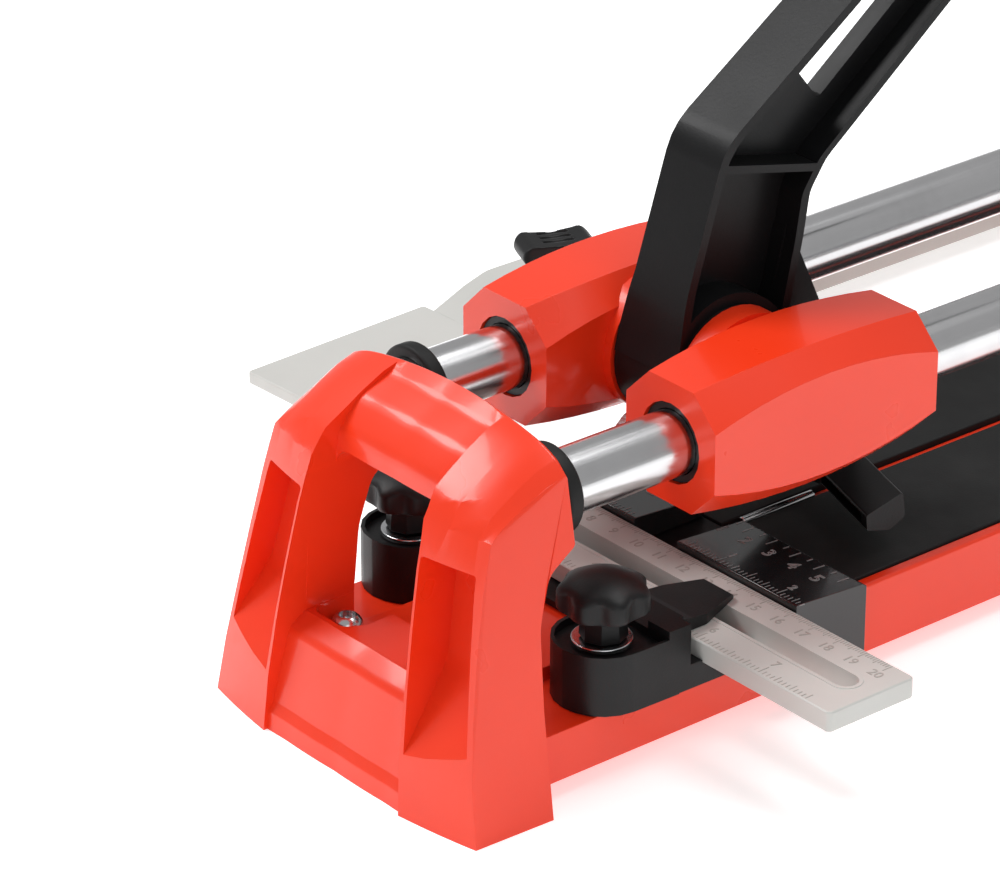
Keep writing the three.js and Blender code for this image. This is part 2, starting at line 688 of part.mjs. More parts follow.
function grip() {
  const radius = GRIP_DIAMETER / 2;
  const bore = TANG_DIAMETER / 2 + GAP;
  const profile = [
    [bore, GAP],
    [radius - 2, GAP],
    [radius, 2.5],
    [radius - 0.8, 20],
    [radius - 1.6, 55],
    [radius - 0.6, 90],
    [radius, GRIP_LENGTH - 12],
    [radius - 1.2, GRIP_LENGTH - 4],
    [radius - 5.5, GRIP_LENGTH],
    [0, GRIP_LENGTH + 0.8],
    [0, GRIP_LENGTH - 8],
    [bore, GRIP_LENGTH - 8],
    [bore, GAP],
  ];
  const tilt = THREE.MathUtils.radToDeg(ARM_ANGLE);
  return turned(profile, 24).rotate([tilt - 90, 0, 0]).translate([0, ...fromAxle(...tipCentre)]);
}

// ---------------------------------------------------------------- breaker
const breakerTop = 46.5;
const breakerBottom = 35.7;
const breakerScrewY = 47; // behind the axle

function breakerArm() {
  const bottom = breakerTop + GAP - RAIL_HEIGHT;
  const arm = [
    [...fromAxle(17, -4)],
    [...fromAxle(10, -16)],
    [...fromAxle(breakerScrewY - 9, bottom + 4), 12],
    [...fromAxle(breakerScrewY - 9, bottom)],
    [...fromAxle(breakerScrewY + 8, bottom)],
    [...fromAxle(breakerScrewY + 8, bottom + 3), 2],
    [...fromAxle(42.6, 4), 60],
    [...fromAxle(31.5, 28), 20],
    [...fromAxle(28, 40)],
    [...fromAxle(25.5, 34)],
  ];
  return prismX(arm, -7, 7);
}

const breakerScrewHole = () =>
  rodZ(2.6 + HOLE_GAP, breakerTop - 1, breakerTop + 8, 0, CARRIAGE_Y + breakerScrewY, 12);

function sweepRule(point) {
  point.y += BREAKER_SWEEP * (1 - Math.abs(point.x) / BREAKER_SPAN);
}

// A chevron that points backwards: its wings reach out over both pads.
function breakerFoot() {
  const front = CARRIAGE_Y + 28.3;
  const section = [
    [front, 43.4, 0.8],
    [front + 14.3, breakerTop, 1],
    [front + 15.6, 38.3, 1.5],
    [front + 9.8, breakerBottom, 3],
    [front + 0.5, 38.4, 0.8],
  ];
  let made = shapedX(section, -BREAKER_SPAN, BREAKER_SPAN, 2, sweepRule);
  const hollow = [
    [front - 2, 39.3],
    [front + 8, 38.6],
    [front + 8.5, 43.6],
    [front - 2, 42.2],
  ];
  for (const end of [-1, 1]) {
    const cut = shapedX(hollow, 12, BREAKER_SPAN - 3.5, 1, sweepRule);
    made = made.subtract(end > 0 ? cut : mirrorX(cut));
  }
  const y = CARRIAGE_Y + breakerScrewY;
  const middle = [
    [-12, 38, 1],
    [12, 38, 1],
    [8, breakerTop],
    [-8, breakerTop],
  ];
  made = made.add(prismY(middle, y - 8, y + 7));
  made = made.subtract(rodZ(5.2, breakerBottom - 2, breakerBottom + 5, 0, y, 20));
  return made.subtract(rodZ(2.5 + HOLE_GAP, breakerBottom, breakerTop + 1, 0, y, 12));
}

function breakerScrew() {
  const seat = breakerBottom + 5 - GAP;
  const profile = [
    [0, seat - 2.4],
    [4.6, seat - 2.4],
    [4.6, seat],
    [2.5, seat],
    [2.5, breakerTop + 7],
    [0, breakerTop + 7],
  ];
  return turned(profile, 16).translate([0, CARRIAGE_Y + breakerScrewY, 0]);
}

// ---------------------------------------------------------------- scoring wheel
// Everything here is made straight below the axle and then tilted forward about it.
const wheelRadius = WHEEL_DIAMETER / 2;
const holderRadius = HOLDER_DIAMETER / 2;
const stemTop = axleRadius + 3.5;
const tilted = (made) => made.rotate([-WHEEL_TILT, 0, 0]).translate([0, CARRIAGE_Y, RAIL_HEIGHT]);
const holderSocket = () => tilted(rod(holderRadius + GAP, -HUB_DIAMETER, GAP - stemTop, 20));

// The holder is a round steel stem with a fork at its lower end.
function wheelHolder() {
  const forkTop = -WHEEL_REACH + wheelRadius + 1.5;
  const half = 4.6;
  let made = rod(holderRadius, forkTop, -stemTop, 20);
  const cheek = [
    [-4.5, -WHEEL_REACH - 3, 3],
    [4.5, -WHEEL_REACH - 3, 3],
    [6, forkTop + 2, 2],
    [6, forkTop + 7, 2],
    [-6, forkTop + 7, 2],
    [-6, forkTop + 2, 2],
  ];
  made = made.add(prismX(cheek, -half, half));
  const room = WHEEL_THICKNESS / 2 + GAP;
  made = made.subtract(box(-room, room, -9, 9, -WHEEL_REACH - 9, forkTop));
  return tilted(made.subtract(rodX(wheelPinRadius + GAP, -9, 9, 0, -WHEEL_REACH, 12)));
}

const wheelPinRadius = 1.8;

function cuttingWheel() {
  const half = WHEEL_THICKNESS / 2;
  const bore = wheelPinRadius + GAP;
  const profile = [
    [bore, -half],
    [wheelRadius - 1.8, -half],
    [wheelRadius, 0],
    [wheelRadius - 1.8, half],
    [bore, half],
    [bore, -half],
  ];
  return tilted(lieAlongX(turned(profile, 20)).translate([0, 0, -WHEEL_REACH]));
}

function wheelPin() {
  const shank = rodX(wheelPinRadius, -5.6, 5.6, 0, -WHEEL_REACH, 12);
  return tilted(shank.add(rodX(3, -6.4, -4.6 - GAP, 0, -WHEEL_REACH, 12)));
}

// ---------------------------------------------------------------- fence
// A plate lying over the deck in front of the pads carries the fence.
function fenceSeat() {
  const inner = rimInner - GAP;
  return box(-inner, inner, seatFront, padFront - GAP, DECK_TOP + GAP, SEAT_TOP);
}

function scaleBlock() {
  const side = [
    [blockFront, SEAT_TOP + GAP],
    [blockBack, SEAT_TOP + GAP],
    [blockBack, BLOCK_BACK_TOP - 0.8, 0.3],
    [blockBack - 1.9, BLOCK_BACK_TOP + 0.3, 0.3],
    [blockFront, BLOCK_FRONT_TOP, 0.5],
  ];
  const skirt = side.map(([y, z, radius], i) => [y, i < 2 ? BLOCK_SKIRT_BOTTOM : z, radius]);
  const made = prismX(side, BLOCK_INNER, BLOCK_OUTER);
  return made.add(prismX(skirt, baseHalf + GAP, BLOCK_OUTER));
}

const studRadius = STUD_DIAMETER / 2;
const bracketBack = rulerFront - GAP;
const stopBack = rulerFront - 4.6;
const stopFront = stopBack - 7.8;
const stopX = 48; // inner side of the stop
const tongueLeft = BOSS_X - TONGUE_WIDTH / 2 - 3.5;

// The bracket's plan: a round boss that runs back to the ruler, drawn in by a margin.
function bracketPlan(end, inset = 0) {
  const radius = BOSS_DIAMETER / 2 - inset;
  return [
    [BOSS_X - radius, end, 0],
    [BOSS_X - radius, BOSS_Y - radius, radius - 0.1],
    [BOSS_X + radius, BOSS_Y - radius, radius - 0.1],
    [BOSS_X + radius + 0.9, end, 0],
  ];
}

function bracket() {
  const outer = BOSS_X + BOSS_DIAMETER / 2 + 2;
  let made = prismZ(bracketPlan(bracketBack), SEAT_TOP + GAP, BRACKET_TOP);
  // The floor round the knob lies a little below the rim.
  made = made.subtract(prismZ(bracketPlan(stopFront, 1.3), BRACKET_FLOOR, BRACKET_TOP + 1));
  const stop = box(stopX, outer, stopFront, stopBack, BRACKET_FLOOR - 1, BRACKET_STOP_TOP);
  made = made.add(prismZ(bracketPlan(bracketBack), SEAT_TOP + GAP, BRACKET_STOP_TOP).intersect(stop));
  made = made.subtract(box(stopX + 1, outer, stopBack, bracketBack + 1, 29.5, BRACKET_STOP_TOP));
  const tongue = [
    [bracketBack - 9, BRACKET_TOP],
    [bracketBack - 9, SEAT_TOP + GAP],
    [bracketBack, SEAT_TOP + GAP],
    [bracketBack, rulerTop + GAP],
    [RULER_Y + SLOT_WIDTH / 2 + 4.5, rulerTop + GAP],
    [RULER_Y + SLOT_WIDTH / 2 + 3.5, rulerTop + 1.9, 1],
    [bracketBack + 3, BRACKET_TOP - 1.2, 6],
    [bracketBack - 3, BRACKET_TOP, 3],
  ];
  const tongueRight = tongueLeft + TONGUE_WIDTH + 1;
  const nose = [
    [tongueLeft, bracketBack - 12],
    [tongueRight, bracketBack - 12],
    [tongueRight, rulerFront + 8, 3],
    [tongueRight - 7, rulerBack - 7, 3],
    [tongueLeft + 3, rulerBack - 7, 4],
    [tongueLeft, rulerFront + 10, 4],
  ];
  const nosePrism = prismZ(nose, SEAT_TOP, BRACKET_TOP + 2);
  made = made.add(prismX(tongue, tongueLeft - 1, tongueRight + 1).intersect(nosePrism));
  const boss = prismZ(bracketPlan(bracketBack), BRACKET_SKIRT_BOTTOM, BRACKET_FLOOR);
  made = made.add(boss.intersect(box(0, outer, -halfLength, STEP_BACK - GAP, 0, BRACKET_FLOOR)));
  // The skirt hangs over the side of the base and runs on under the ruler to the scale block.
  const skirtBack = blockFront - GAP;
  const skirtRoom = [
    [BOSS_Y - 20, BRACKET_SKIRT_BOTTOM],
    [skirtBack, BRACKET_SKIRT_BOTTOM],
    [skirtBack, SEAT_TOP],
    [bracketBack, SEAT_TOP],
    [bracketBack, 29.5],
    [BOSS_Y - 20, 29.5],
  ];
  const skirt = prismZ(bracketPlan(skirtBack), BRACKET_SKIRT_BOTTOM, BRACKET_FLOOR);
  made = made.add(skirt.intersect(prismX(skirtRoom, baseHalf + GAP, outer)));
  return made.subtract(rodZ(studRadius + HOLE_GAP, 0, BRACKET_TOP + 1, BOSS_X, BOSS_Y, 16));
}

function washer() {
  const from = BRACKET_FLOOR + GAP;
  return tube(studRadius + HOLE_GAP, WASHER_DIAMETER / 2, from, from + WASHER_THICKNESS, 24).translate([
    BOSS_X,
    BOSS_Y,
    0,
  ]);
}

// A knob with rounded lobes and a domed top, moulded round its own stud.
function lobedKnob() {
  const lobes = 7;
  const radius = KNOB_DIAMETER / 2;
  const neckBottom = BRACKET_FLOOR + WASHER_THICKNESS + 2 * GAP;
  const headBottom = KNOB_TOP - 10.8;
  const profile = [
    [0, neckBottom],
    [KNOB_NECK / 2, neckBottom],
    [KNOB_NECK / 2 - 0.6, headBottom - 1],
    [KNOB_NECK / 2 + 1, headBottom],
    [radius - 1, headBottom + 0.2],
    [radius, headBottom + 1],
    [radius, headBottom + 4.2],
    [radius * 0.93, headBottom + 5.6],
    [radius * 0.7, headBottom + 8.3],
    [radius * 0.4, headBottom + 10.1],
    [0, KNOB_TOP],
  ];
  const dip = 2.2;
  const head = placed(latheAboutZ(profile, 4 * lobes), (point) => {
    const reach = Math.hypot(point.x, point.y);
    const fade = THREE.MathUtils.clamp((reach - KNOB_NECK / 2) / (radius - KNOB_NECK / 2), 0, 1);
    const wave = (1 - Math.cos(lobes * Math.atan2(point.y, point.x))) / 2;
    const scale = reach > 0 ? 1 - (dip * fade * wave) / reach : 1;
    point.x *= scale;
    point.y *= scale;
  });
  const stud = rod(studRadius, BRACKET_SKIRT_BOTTOM - DECK_THICKNESS, neckBottom + 1, 12);
  return solid(head).add(stud).translate([BOSS_X, BOSS_Y, 0]);
}

function ruler() {
  const half = RULER_LENGTH / 2;
  const plan = rectangle(-half, half, rulerFront, rulerBack, 1.6);
  let made = prismZ(plan, rulerBottom, rulerTop, 0.4);
  const slotHalf = SLOT_WIDTH / 2;
  const slotX = half - SLOT_END;
  const rimWidth = 1.2;
  const rim = rectangle(
    -slotX - rimWidth,
    slotX + rimWidth,
    RULER_Y - slotHalf - rimWidth,
    RULER_Y + slotHalf + rimWidth,
    slotHalf + rimWidth - 0.01,
  );
  made = made.add(prismZ(rim, rulerTop - 1, rulerTop + 0.25));
  const slot = rectangle(-slotX, slotX, RULER_Y - slotHalf, RULER_Y + slotHalf, slotHalf - 0.01);
  return made.subtract(prismZ(slot, rulerBottom - 1, rulerTop + 1));
}

// ---------------------------------------------------------------- side support
const pinRadius = 3;

function sideBar() {
  const section = rectangle(barX - BAR_WIDTH / 2, barX + BAR_WIDTH / 2, barBottom, barTop, 1.2);
  let made = prismY(section, -BAR_LENGTH / 2, BAR_LENGTH / 2);
  const track = rectangle(EYE_X - 4.2, EYE_X + 4.2, EYE_Y - 4.5, EYE_Y + 10, 4.1);
  made = made.subtract(prismZ(track, 0, barTop + 1));
  for (const y of [-LINK_Y, LINK_Y]) {
    made = made.subtract(rodZ(pinRadius + HOLE_GAP, 0, barTop + 1, barX, y, 20));
  }
  return made;
}

function sideLink(y) {
  const half = LINK_WIDTH / 2;
  const plan = rectangle(barX - half, LINK_PIVOT_X + half, y - half, y + half, half - 0.1);
  let made = prismZ(plan, LINK_BOTTOM, linkTop);
  for (const x of [barX, LINK_PIVOT_X]) {
    made = made.subtract(rodZ(pinRadius + HOLE_GAP, 0, linkTop + 1, x, y, 20));
  }
  return made;
}

// A shouldered pin from below, through the link and into what it turns on.
function linkPin(x, y, top) {
  const headTop = LINK_BOTTOM - GAP;
  const profile = [
    [0, headTop - 1.2],
    [5.5, headTop - 1.2],
    [5.5, headTop],
    [pinRadius, headTop],
    [pinRadius, top],
    [0, top],
  ];
  return turned(profile, 12).translate([x, y, 0]);
}

const eyeBottom = barTop + GAP;
const plateBack = -41.5; // from here to the end of the wing knob, measured from the eye
const plateLeft = -17;

function supportPlate() {
  const front = plateBack - PLATE_LENGTH;
  const bottom = plateTop - PLATE_THICKNESS;
  const right = plateLeft + PLATE_WIDTH;
  let made = prismZ(rectangle(plateLeft, right, front, plateBack, 1.5), bottom, plateTop, 0.4);
  const radius = EYE_DIAMETER / 2;
  const neck = [
    [plateLeft + 4.4, plateBack - 3],
    [right - 12, plateBack - 3],
    [radius + 4, -22, 14],
    [radius + 2, radius, radius],
    [-radius - 3, radius, radius],
    [-radius - 4.5, -8, 14],
    [-radius - 0.5, -21, 12],
    [plateLeft + 4.4, plateBack + 0.5],
  ];
  made = made.add(prismZ(neck, bottom, plateTop - 0.5));
  made = made.add(rodZ(radius - 3, eyeBottom, plateTop, 0, 0, 32));
  made = made.add(box(-3, 3, front + 8, 0, bottom - 5, bottom + 1));
  made = made.subtract(rodZ(pinRadius + HOLE_GAP, 0, plateTop + 1, 0, 0, 16));
  return made.rotate([0, 0, PLATE_TURN]).translate([EYE_X, EYE_Y, 0]);
}

function plateWasher() {
  const from = plateTop + GAP;
  return tube(pinRadius + HOLE_GAP, 9, from, from + 1.5).translate([EYE_X, EYE_Y, 0]);
}

// A T-shaped wing knob, moulded round its stud.
function wingKnob() {
  const from = plateTop + 1.5 + 2 * GAP;
  const half = WING_SPAN / 2;
  const tee = [
    [-half, 12.5, 3],
    [-half + 2.5, 8, 3],
    [-6, 6, 3],
    [-5.5, 0],
    [5.5, 0],
    [6, 6, 3],
    [half - 2.5, 8, 3],
    [half, 12.5, 3],
    [half - 3, 15.6, 3],
    [0, 15, 20],
    [3 - half, 15.6, 3],
  ];
  const plan = [
    [7.5, -half, 3],
    [7.5, half, 3],
    [-6.5, half, 4],
    [-4.5, 0, 8],
    [-6.5, -half, 4],
  ];
  let made = prismX(tee, -8, 8).intersect(prismZ(plan, 5.5, 20).add(rod(5.6, -1, 9)));
  made = made.add(rod(pinRadius, barBottom + 1 - from, 2, 16));
  return made.rotate([0, 0, -22]).translate([EYE_X, EYE_Y, from]);
}

// ---------------------------------------------------------------- assembly
addPiece("base_channel", baseChannel(), RED);
addPiece("pad_right", pad(), RUBBER);
addPiece("pad_left", mirrorX(pad()), RUBBER);
addPiece("breaking_rod", breakingRod(), STEEL);
addPiece("front_foot", foot(), RED);
addPiece("rear_foot", mirrorY(foot()), RED);
addPiece("front_foot_screw_right", footScrew(), ZINC);
addPiece("front_foot_screw_left", mirrorX(footScrew()), ZINC);
addPiece("rear_foot_screw_right", mirrorY(footScrew()), ZINC);
addPiece("rear_foot_screw_left", mirrorX(mirrorY(footScrew())), ZINC);
addPiece("rail_right", rail(), STEEL);
addPiece("rail_left", mirrorX(rail()), STEEL);

const ringAtFoot = -sleeveBack + GAP;
addPiece("ring_front_right", bumperRing(ringAtFoot), RUBBER);
addPiece("ring_front_left", mirrorX(bumperRing(ringAtFoot + LEFT_RING_OFFSET - RING_WIDTH)), RUBBER);
addPiece("ring_rear_right", mirrorY(bumperRing(ringAtFoot)), RUBBER);
addPiece("ring_rear_left", mirrorX(mirrorY(bumperRing(ringAtFoot))), RUBBER);

addPiece("barrel_right", barrel(), RED);
addPiece("barrel_left", mirrorX(barrel()), RED);
addPiece("bush_front_right", bush(-1), BLACK);
addPiece("bush_front_left", mirrorX(bush(-1)), BLACK);
addPiece("bush_rear_right", bush(1), BLACK);
addPiece("bush_rear_left", mirrorX(bush(1)), BLACK);
addPiece("pivot_axle", pivotAxle(), STEEL);

addPiece("lever", leverCasting(), BLACK);
addPiece("grip", grip(), RUBBER);
addPiece("breaker_foot", breakerFoot(), BLACK);
addPiece("breaker_screw", breakerScrew(), ZINC);
addPiece("wheel_holder", wheelHolder(), STEEL);
addPiece("cutting_wheel", cuttingWheel(), CARBIDE);
addPiece("wheel_pin", wheelPin(), STEEL);

addPiece("fence_seat", fenceSeat(), BLACK);
addPiece("scale_block_right", scaleBlock(), BLACK);
addPiece("scale_block_left", mirrorX(scaleBlock()), BLACK);
addPiece("bracket_right", bracket(), BLACK);
addPiece("bracket_left", mirrorX(bracket()), BLACK);
addPiece("washer_right", washer(), ZINC);
addPiece("washer_left", mirrorX(washer()), ZINC);
addPiece("knob_right", lobedKnob(), BLACK);
addPiece("knob_left", mirrorX(lobedKnob()), BLACK);
addPiece("ruler", ruler(), LIGHT_GREY);

addPiece("side_bar", sideBar(), LIGHT_GREY);
addPiece("link_front", sideLink(-LINK_Y), ZINC);
addPiece("link_rear", sideLink(LINK_Y), ZINC);
const baseHole = DECK_TOP - DECK_THICKNESS - 1;
addPiece("link_pin_base_front", linkPin(LINK_PIVOT_X, -LINK_Y, baseHole), ZINC);
addPiece("link_pin_base_rear", linkPin(LINK_PIVOT_X, LINK_Y, baseHole), ZINC);
addPiece("link_pin_bar_front", linkPin(barX, -LINK_Y, barTop - 0.5), ZINC);
addPiece("link_pin_bar_rear", linkPin(barX, LINK_Y, barTop - 0.5), ZINC);
addPiece("support_plate", supportPlate(), LIGHT_GREY);
addPiece("plate_washer", plateWasher(), ZINC);
addPiece("wing_knob", wingKnob(), BLACK);

root.position.x = MIDDLE_X;

export default root;
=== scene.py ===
import bmesh
import bpy
import json
import math
from mathutils import Matrix, Vector

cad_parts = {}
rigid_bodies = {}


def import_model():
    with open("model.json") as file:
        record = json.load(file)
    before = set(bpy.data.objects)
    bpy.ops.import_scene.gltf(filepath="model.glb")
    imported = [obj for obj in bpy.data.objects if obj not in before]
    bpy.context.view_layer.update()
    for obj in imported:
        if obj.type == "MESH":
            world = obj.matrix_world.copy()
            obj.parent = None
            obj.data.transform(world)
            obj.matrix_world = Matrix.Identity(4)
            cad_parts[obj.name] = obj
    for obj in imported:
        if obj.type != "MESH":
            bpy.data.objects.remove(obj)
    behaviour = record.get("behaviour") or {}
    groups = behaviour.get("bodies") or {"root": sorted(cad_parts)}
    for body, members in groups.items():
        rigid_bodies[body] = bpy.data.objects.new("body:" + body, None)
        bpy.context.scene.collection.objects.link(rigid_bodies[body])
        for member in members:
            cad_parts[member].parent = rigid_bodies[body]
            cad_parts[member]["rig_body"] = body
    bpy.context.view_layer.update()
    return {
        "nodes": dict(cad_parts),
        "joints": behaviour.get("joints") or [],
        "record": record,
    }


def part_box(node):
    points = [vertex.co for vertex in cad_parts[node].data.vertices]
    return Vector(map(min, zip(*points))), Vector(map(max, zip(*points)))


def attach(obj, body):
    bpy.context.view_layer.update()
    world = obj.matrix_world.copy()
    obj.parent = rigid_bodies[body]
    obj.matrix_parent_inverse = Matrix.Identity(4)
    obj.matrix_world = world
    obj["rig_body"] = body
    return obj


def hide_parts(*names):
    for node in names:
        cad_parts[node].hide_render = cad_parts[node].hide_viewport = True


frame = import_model()
nodes = frame["nodes"]
scene = bpy.context.scene
mm = 0.001
print("frame loaded:", len(nodes), "nodes")

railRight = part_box("rail_right")
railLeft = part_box("rail_left")
middleX = (railRight[0].x + railLeft[1].x) / 2  # the rails' middle, the object's own is further left


# shader groups: each takes object coordinates and gives values that change over the surface

def shaderGroup(name, inputs, outputs):
    tree = bpy.data.node_groups.new(name, "ShaderNodeTree")
    for label, kind, value in inputs:
        socket = tree.interface.new_socket(label, in_out="INPUT", socket_type=kind)
        if value is not None:
            socket.default_value = value
    for label, kind in outputs:
        tree.interface.new_socket(label, in_out="OUTPUT", socket_type=kind)
    return tree, tree.nodes.new("NodeGroupInput"), tree.nodes.new("NodeGroupOutput")


def mapRange(tree, value, low, high, fromLow=0.0, fromHigh=1.0):
    node = tree.nodes.new("ShaderNodeMapRange")
    tree.links.new(value, node.inputs["Value"])
    node.inputs["From Min"].default_value = fromLow
    node.inputs["From Max"].default_value = fromHigh
    for socket, given in (("To Min", low), ("To Max", high)):
        if isinstance(given, (int, float)):
            node.inputs[socket].default_value = given
        else:
            tree.links.new(given, node.inputs[socket])
    return node.outputs["Result"]


def makeGrainGroup():
    # coating grain: fine noise for height, slow noise that moves the roughness
    tree, given, out = shaderGroup(
        "coatingGrain",
        [("Vector", "NodeSocketVector", None), ("Grain Scale", "NodeSocketFloat", 900.0),
         ("Smooth", "NodeSocketFloat", 0.25), ("Rough", "NodeSocketFloat", 0.4)],
        [("Height", "NodeSocketFloat"), ("Roughness", "NodeSocketFloat")],
    )
    fine = tree.nodes.new("ShaderNodeTexNoise")
    fine.inputs["Detail"].default_value = 3.0
    tree.links.new(given.outputs["Vector"], fine.inputs["Vector"])
    tree.links.new(given.outputs["Grain Scale"], fine.inputs["Scale"])
    slow = tree.nodes.new("ShaderNodeTexNoise")
    slow.inputs["Scale"].default_value = 26.0
    slow.inputs["Detail"].default_value = 4.0
    tree.links.new(given.outputs["Vector"], slow.inputs["Vector"])
    rough = mapRange(tree, slow.outputs["Fac"], given.outputs["Smooth"], given.outputs["Rough"], 0.3, 0.7)
    tree.links.new(fine.outputs["Fac"], out.inputs["Height"])
    tree.links.new(rough, out.inputs["Roughness"])
    return tree


def makeHandlingGroup():
    # slow clouds of a second tone, such as dust, thin enamel or rubbed metal
    tree, given, out = shaderGroup(
        "handlingTone",
        [("Vector", "NodeSocketVector", None), ("Main Tone", "NodeSocketColor", (0.5, 0.5, 0.5, 1)),
         ("Second Tone", "NodeSocketColor", (0.5, 0.5, 0.5, 1)), ("Cloud Scale", "NodeSocketFloat", 14.0),
         ("Share", "NodeSocketFloat", 0.5)],
        [("Color", "NodeSocketColor")],
    )
    cloud = tree.nodes.new("ShaderNodeTexNoise")
    cloud.inputs["Detail"].default_value = 5.0
    cloud.inputs["Roughness"].default_value = 0.62
    tree.links.new(given.outputs["Vector"], cloud.inputs["Vector"])
    tree.links.new(given.outputs["Cloud Scale"], cloud.inputs["Scale"])
    mask = mapRange(tree, cloud.outputs["Fac"], 0.0, given.outputs["Share"], 0.42, 0.7)
    mix = tree.nodes.new("ShaderNodeMix")
    mix.data_type = "RGBA"
    tree.links.new(mask, mix.inputs["Factor"])
    tree.links.new(given.outputs["Main Tone"], mix.inputs[6])
    tree.links.new(given.outputs["Second Tone"], mix.inputs[7])
    tree.links.new(mix.outputs[2], out.inputs["Color"])
    return tree


def makeDrawnGroup():
    # hair lines from drawing or grinding, long in one direction
    tree, given, out = shaderGroup(
        "drawnLines",
        [("Vector", "NodeSocketVector", None), ("Stretch", "NodeSocketVector", (900.0, 6.0, 900.0)),
         ("Smooth", "NodeSocketFloat", 0.12), ("Rough", "NodeSocketFloat", 0.3)],
        [("Height", "NodeSocketFloat"), ("Roughness", "NodeSocketFloat")],
    )
    stretch = tree.nodes.new("ShaderNodeVectorMath")
    stretch.operation = "MULTIPLY"
    tree.links.new(given.outputs["Vector"], stretch.inputs[0])
    tree.links.new(given.outputs["Stretch"], stretch.inputs[1])
    lines = tree.nodes.new("ShaderNodeTexNoise")
    lines.inputs["Scale"].default_value = 1.0
    lines.inputs["Detail"].default_value = 4.0
    tree.links.new(stretch.outputs["Vector"], lines.inputs["Vector"])
    rough = mapRange(tree, lines.outputs["Fac"], given.outputs["Smooth"], given.outputs["Rough"], 0.3, 0.7)
    tree.links.new(lines.outputs["Fac"], out.inputs["Height"])
    tree.links.new(rough, out.inputs["Roughness"])
    return tree


grainGroup = makeGrainGroup()
handlingGroup = makeHandlingGroup()
drawnGroup = makeDrawnGroup()


def finish(name, look):
    material = bpy.data.materials.new(name)
    material.use_nodes = True
    tree = material.node_tree
    shader = tree.nodes["Principled BSDF"]
    coords = tree.nodes.new("ShaderNodeTexCoord")
    material.diffuse_color = look["tone"]
    shader.inputs["Metallic"].default_value = look.get("metal", 0.0)
    shader.inputs["Coat Weight"].default_value = look.get("coat", 0.0)
    shader.inputs["Coat Roughness"].default_value = look.get("coatRough", 0.05)
    shader.inputs["Specular IOR Level"].default_value = look.get("specular", 0.5)
    tone = tree.nodes.new("ShaderNodeGroup")
    tone.node_tree = handlingGroup
    tone.inputs["Main Tone"].default_value = look["tone"]
    tone.inputs["Second Tone"].default_value = look["second"]
    tone.inputs["Cloud Scale"].default_value = look.get("cloud", 14.0)
    tone.inputs["Share"].default_value = look.get("share", 0.6)
    tree.links.new(coords.outputs["Object"], tone.inputs["Vector"])
    tree.links.new(tone.outputs["Color"], shader.inputs["Base Color"])
    grain = tree.nodes.new("ShaderNodeGroup")
    grain.node_tree = drawnGroup if "stretch" in look else grainGroup
    if "stretch" in look:
        grain.inputs["Stretch"].default_value = look["stretch"]
    else:
        grain.inputs["Grain Scale"].default_value = look.get("grain", 900.0)
    grain.inputs["Smooth"].default_value = look["smooth"]
    grain.inputs["Rough"].default_value = look["rough"]
    tree.links.new(coords.outputs["Object"], grain.inputs["Vector"])
    tree.links.new(grain.outputs["Roughness"], shader.inputs["Roughness"])
    bump = tree.nodes.new("ShaderNodeBump")
    bump.inputs["Strength"].default_value = look.get("bump", 0.1)
    bump.inputs["Distance"].default_value = look.get("depth", 0.05) * mm
    tree.links.new(grain.outputs["Height"], bump.inputs["Height"])
    tree.links.new(bump.outputs["Normal"], shader.inputs["Normal"])
    return material


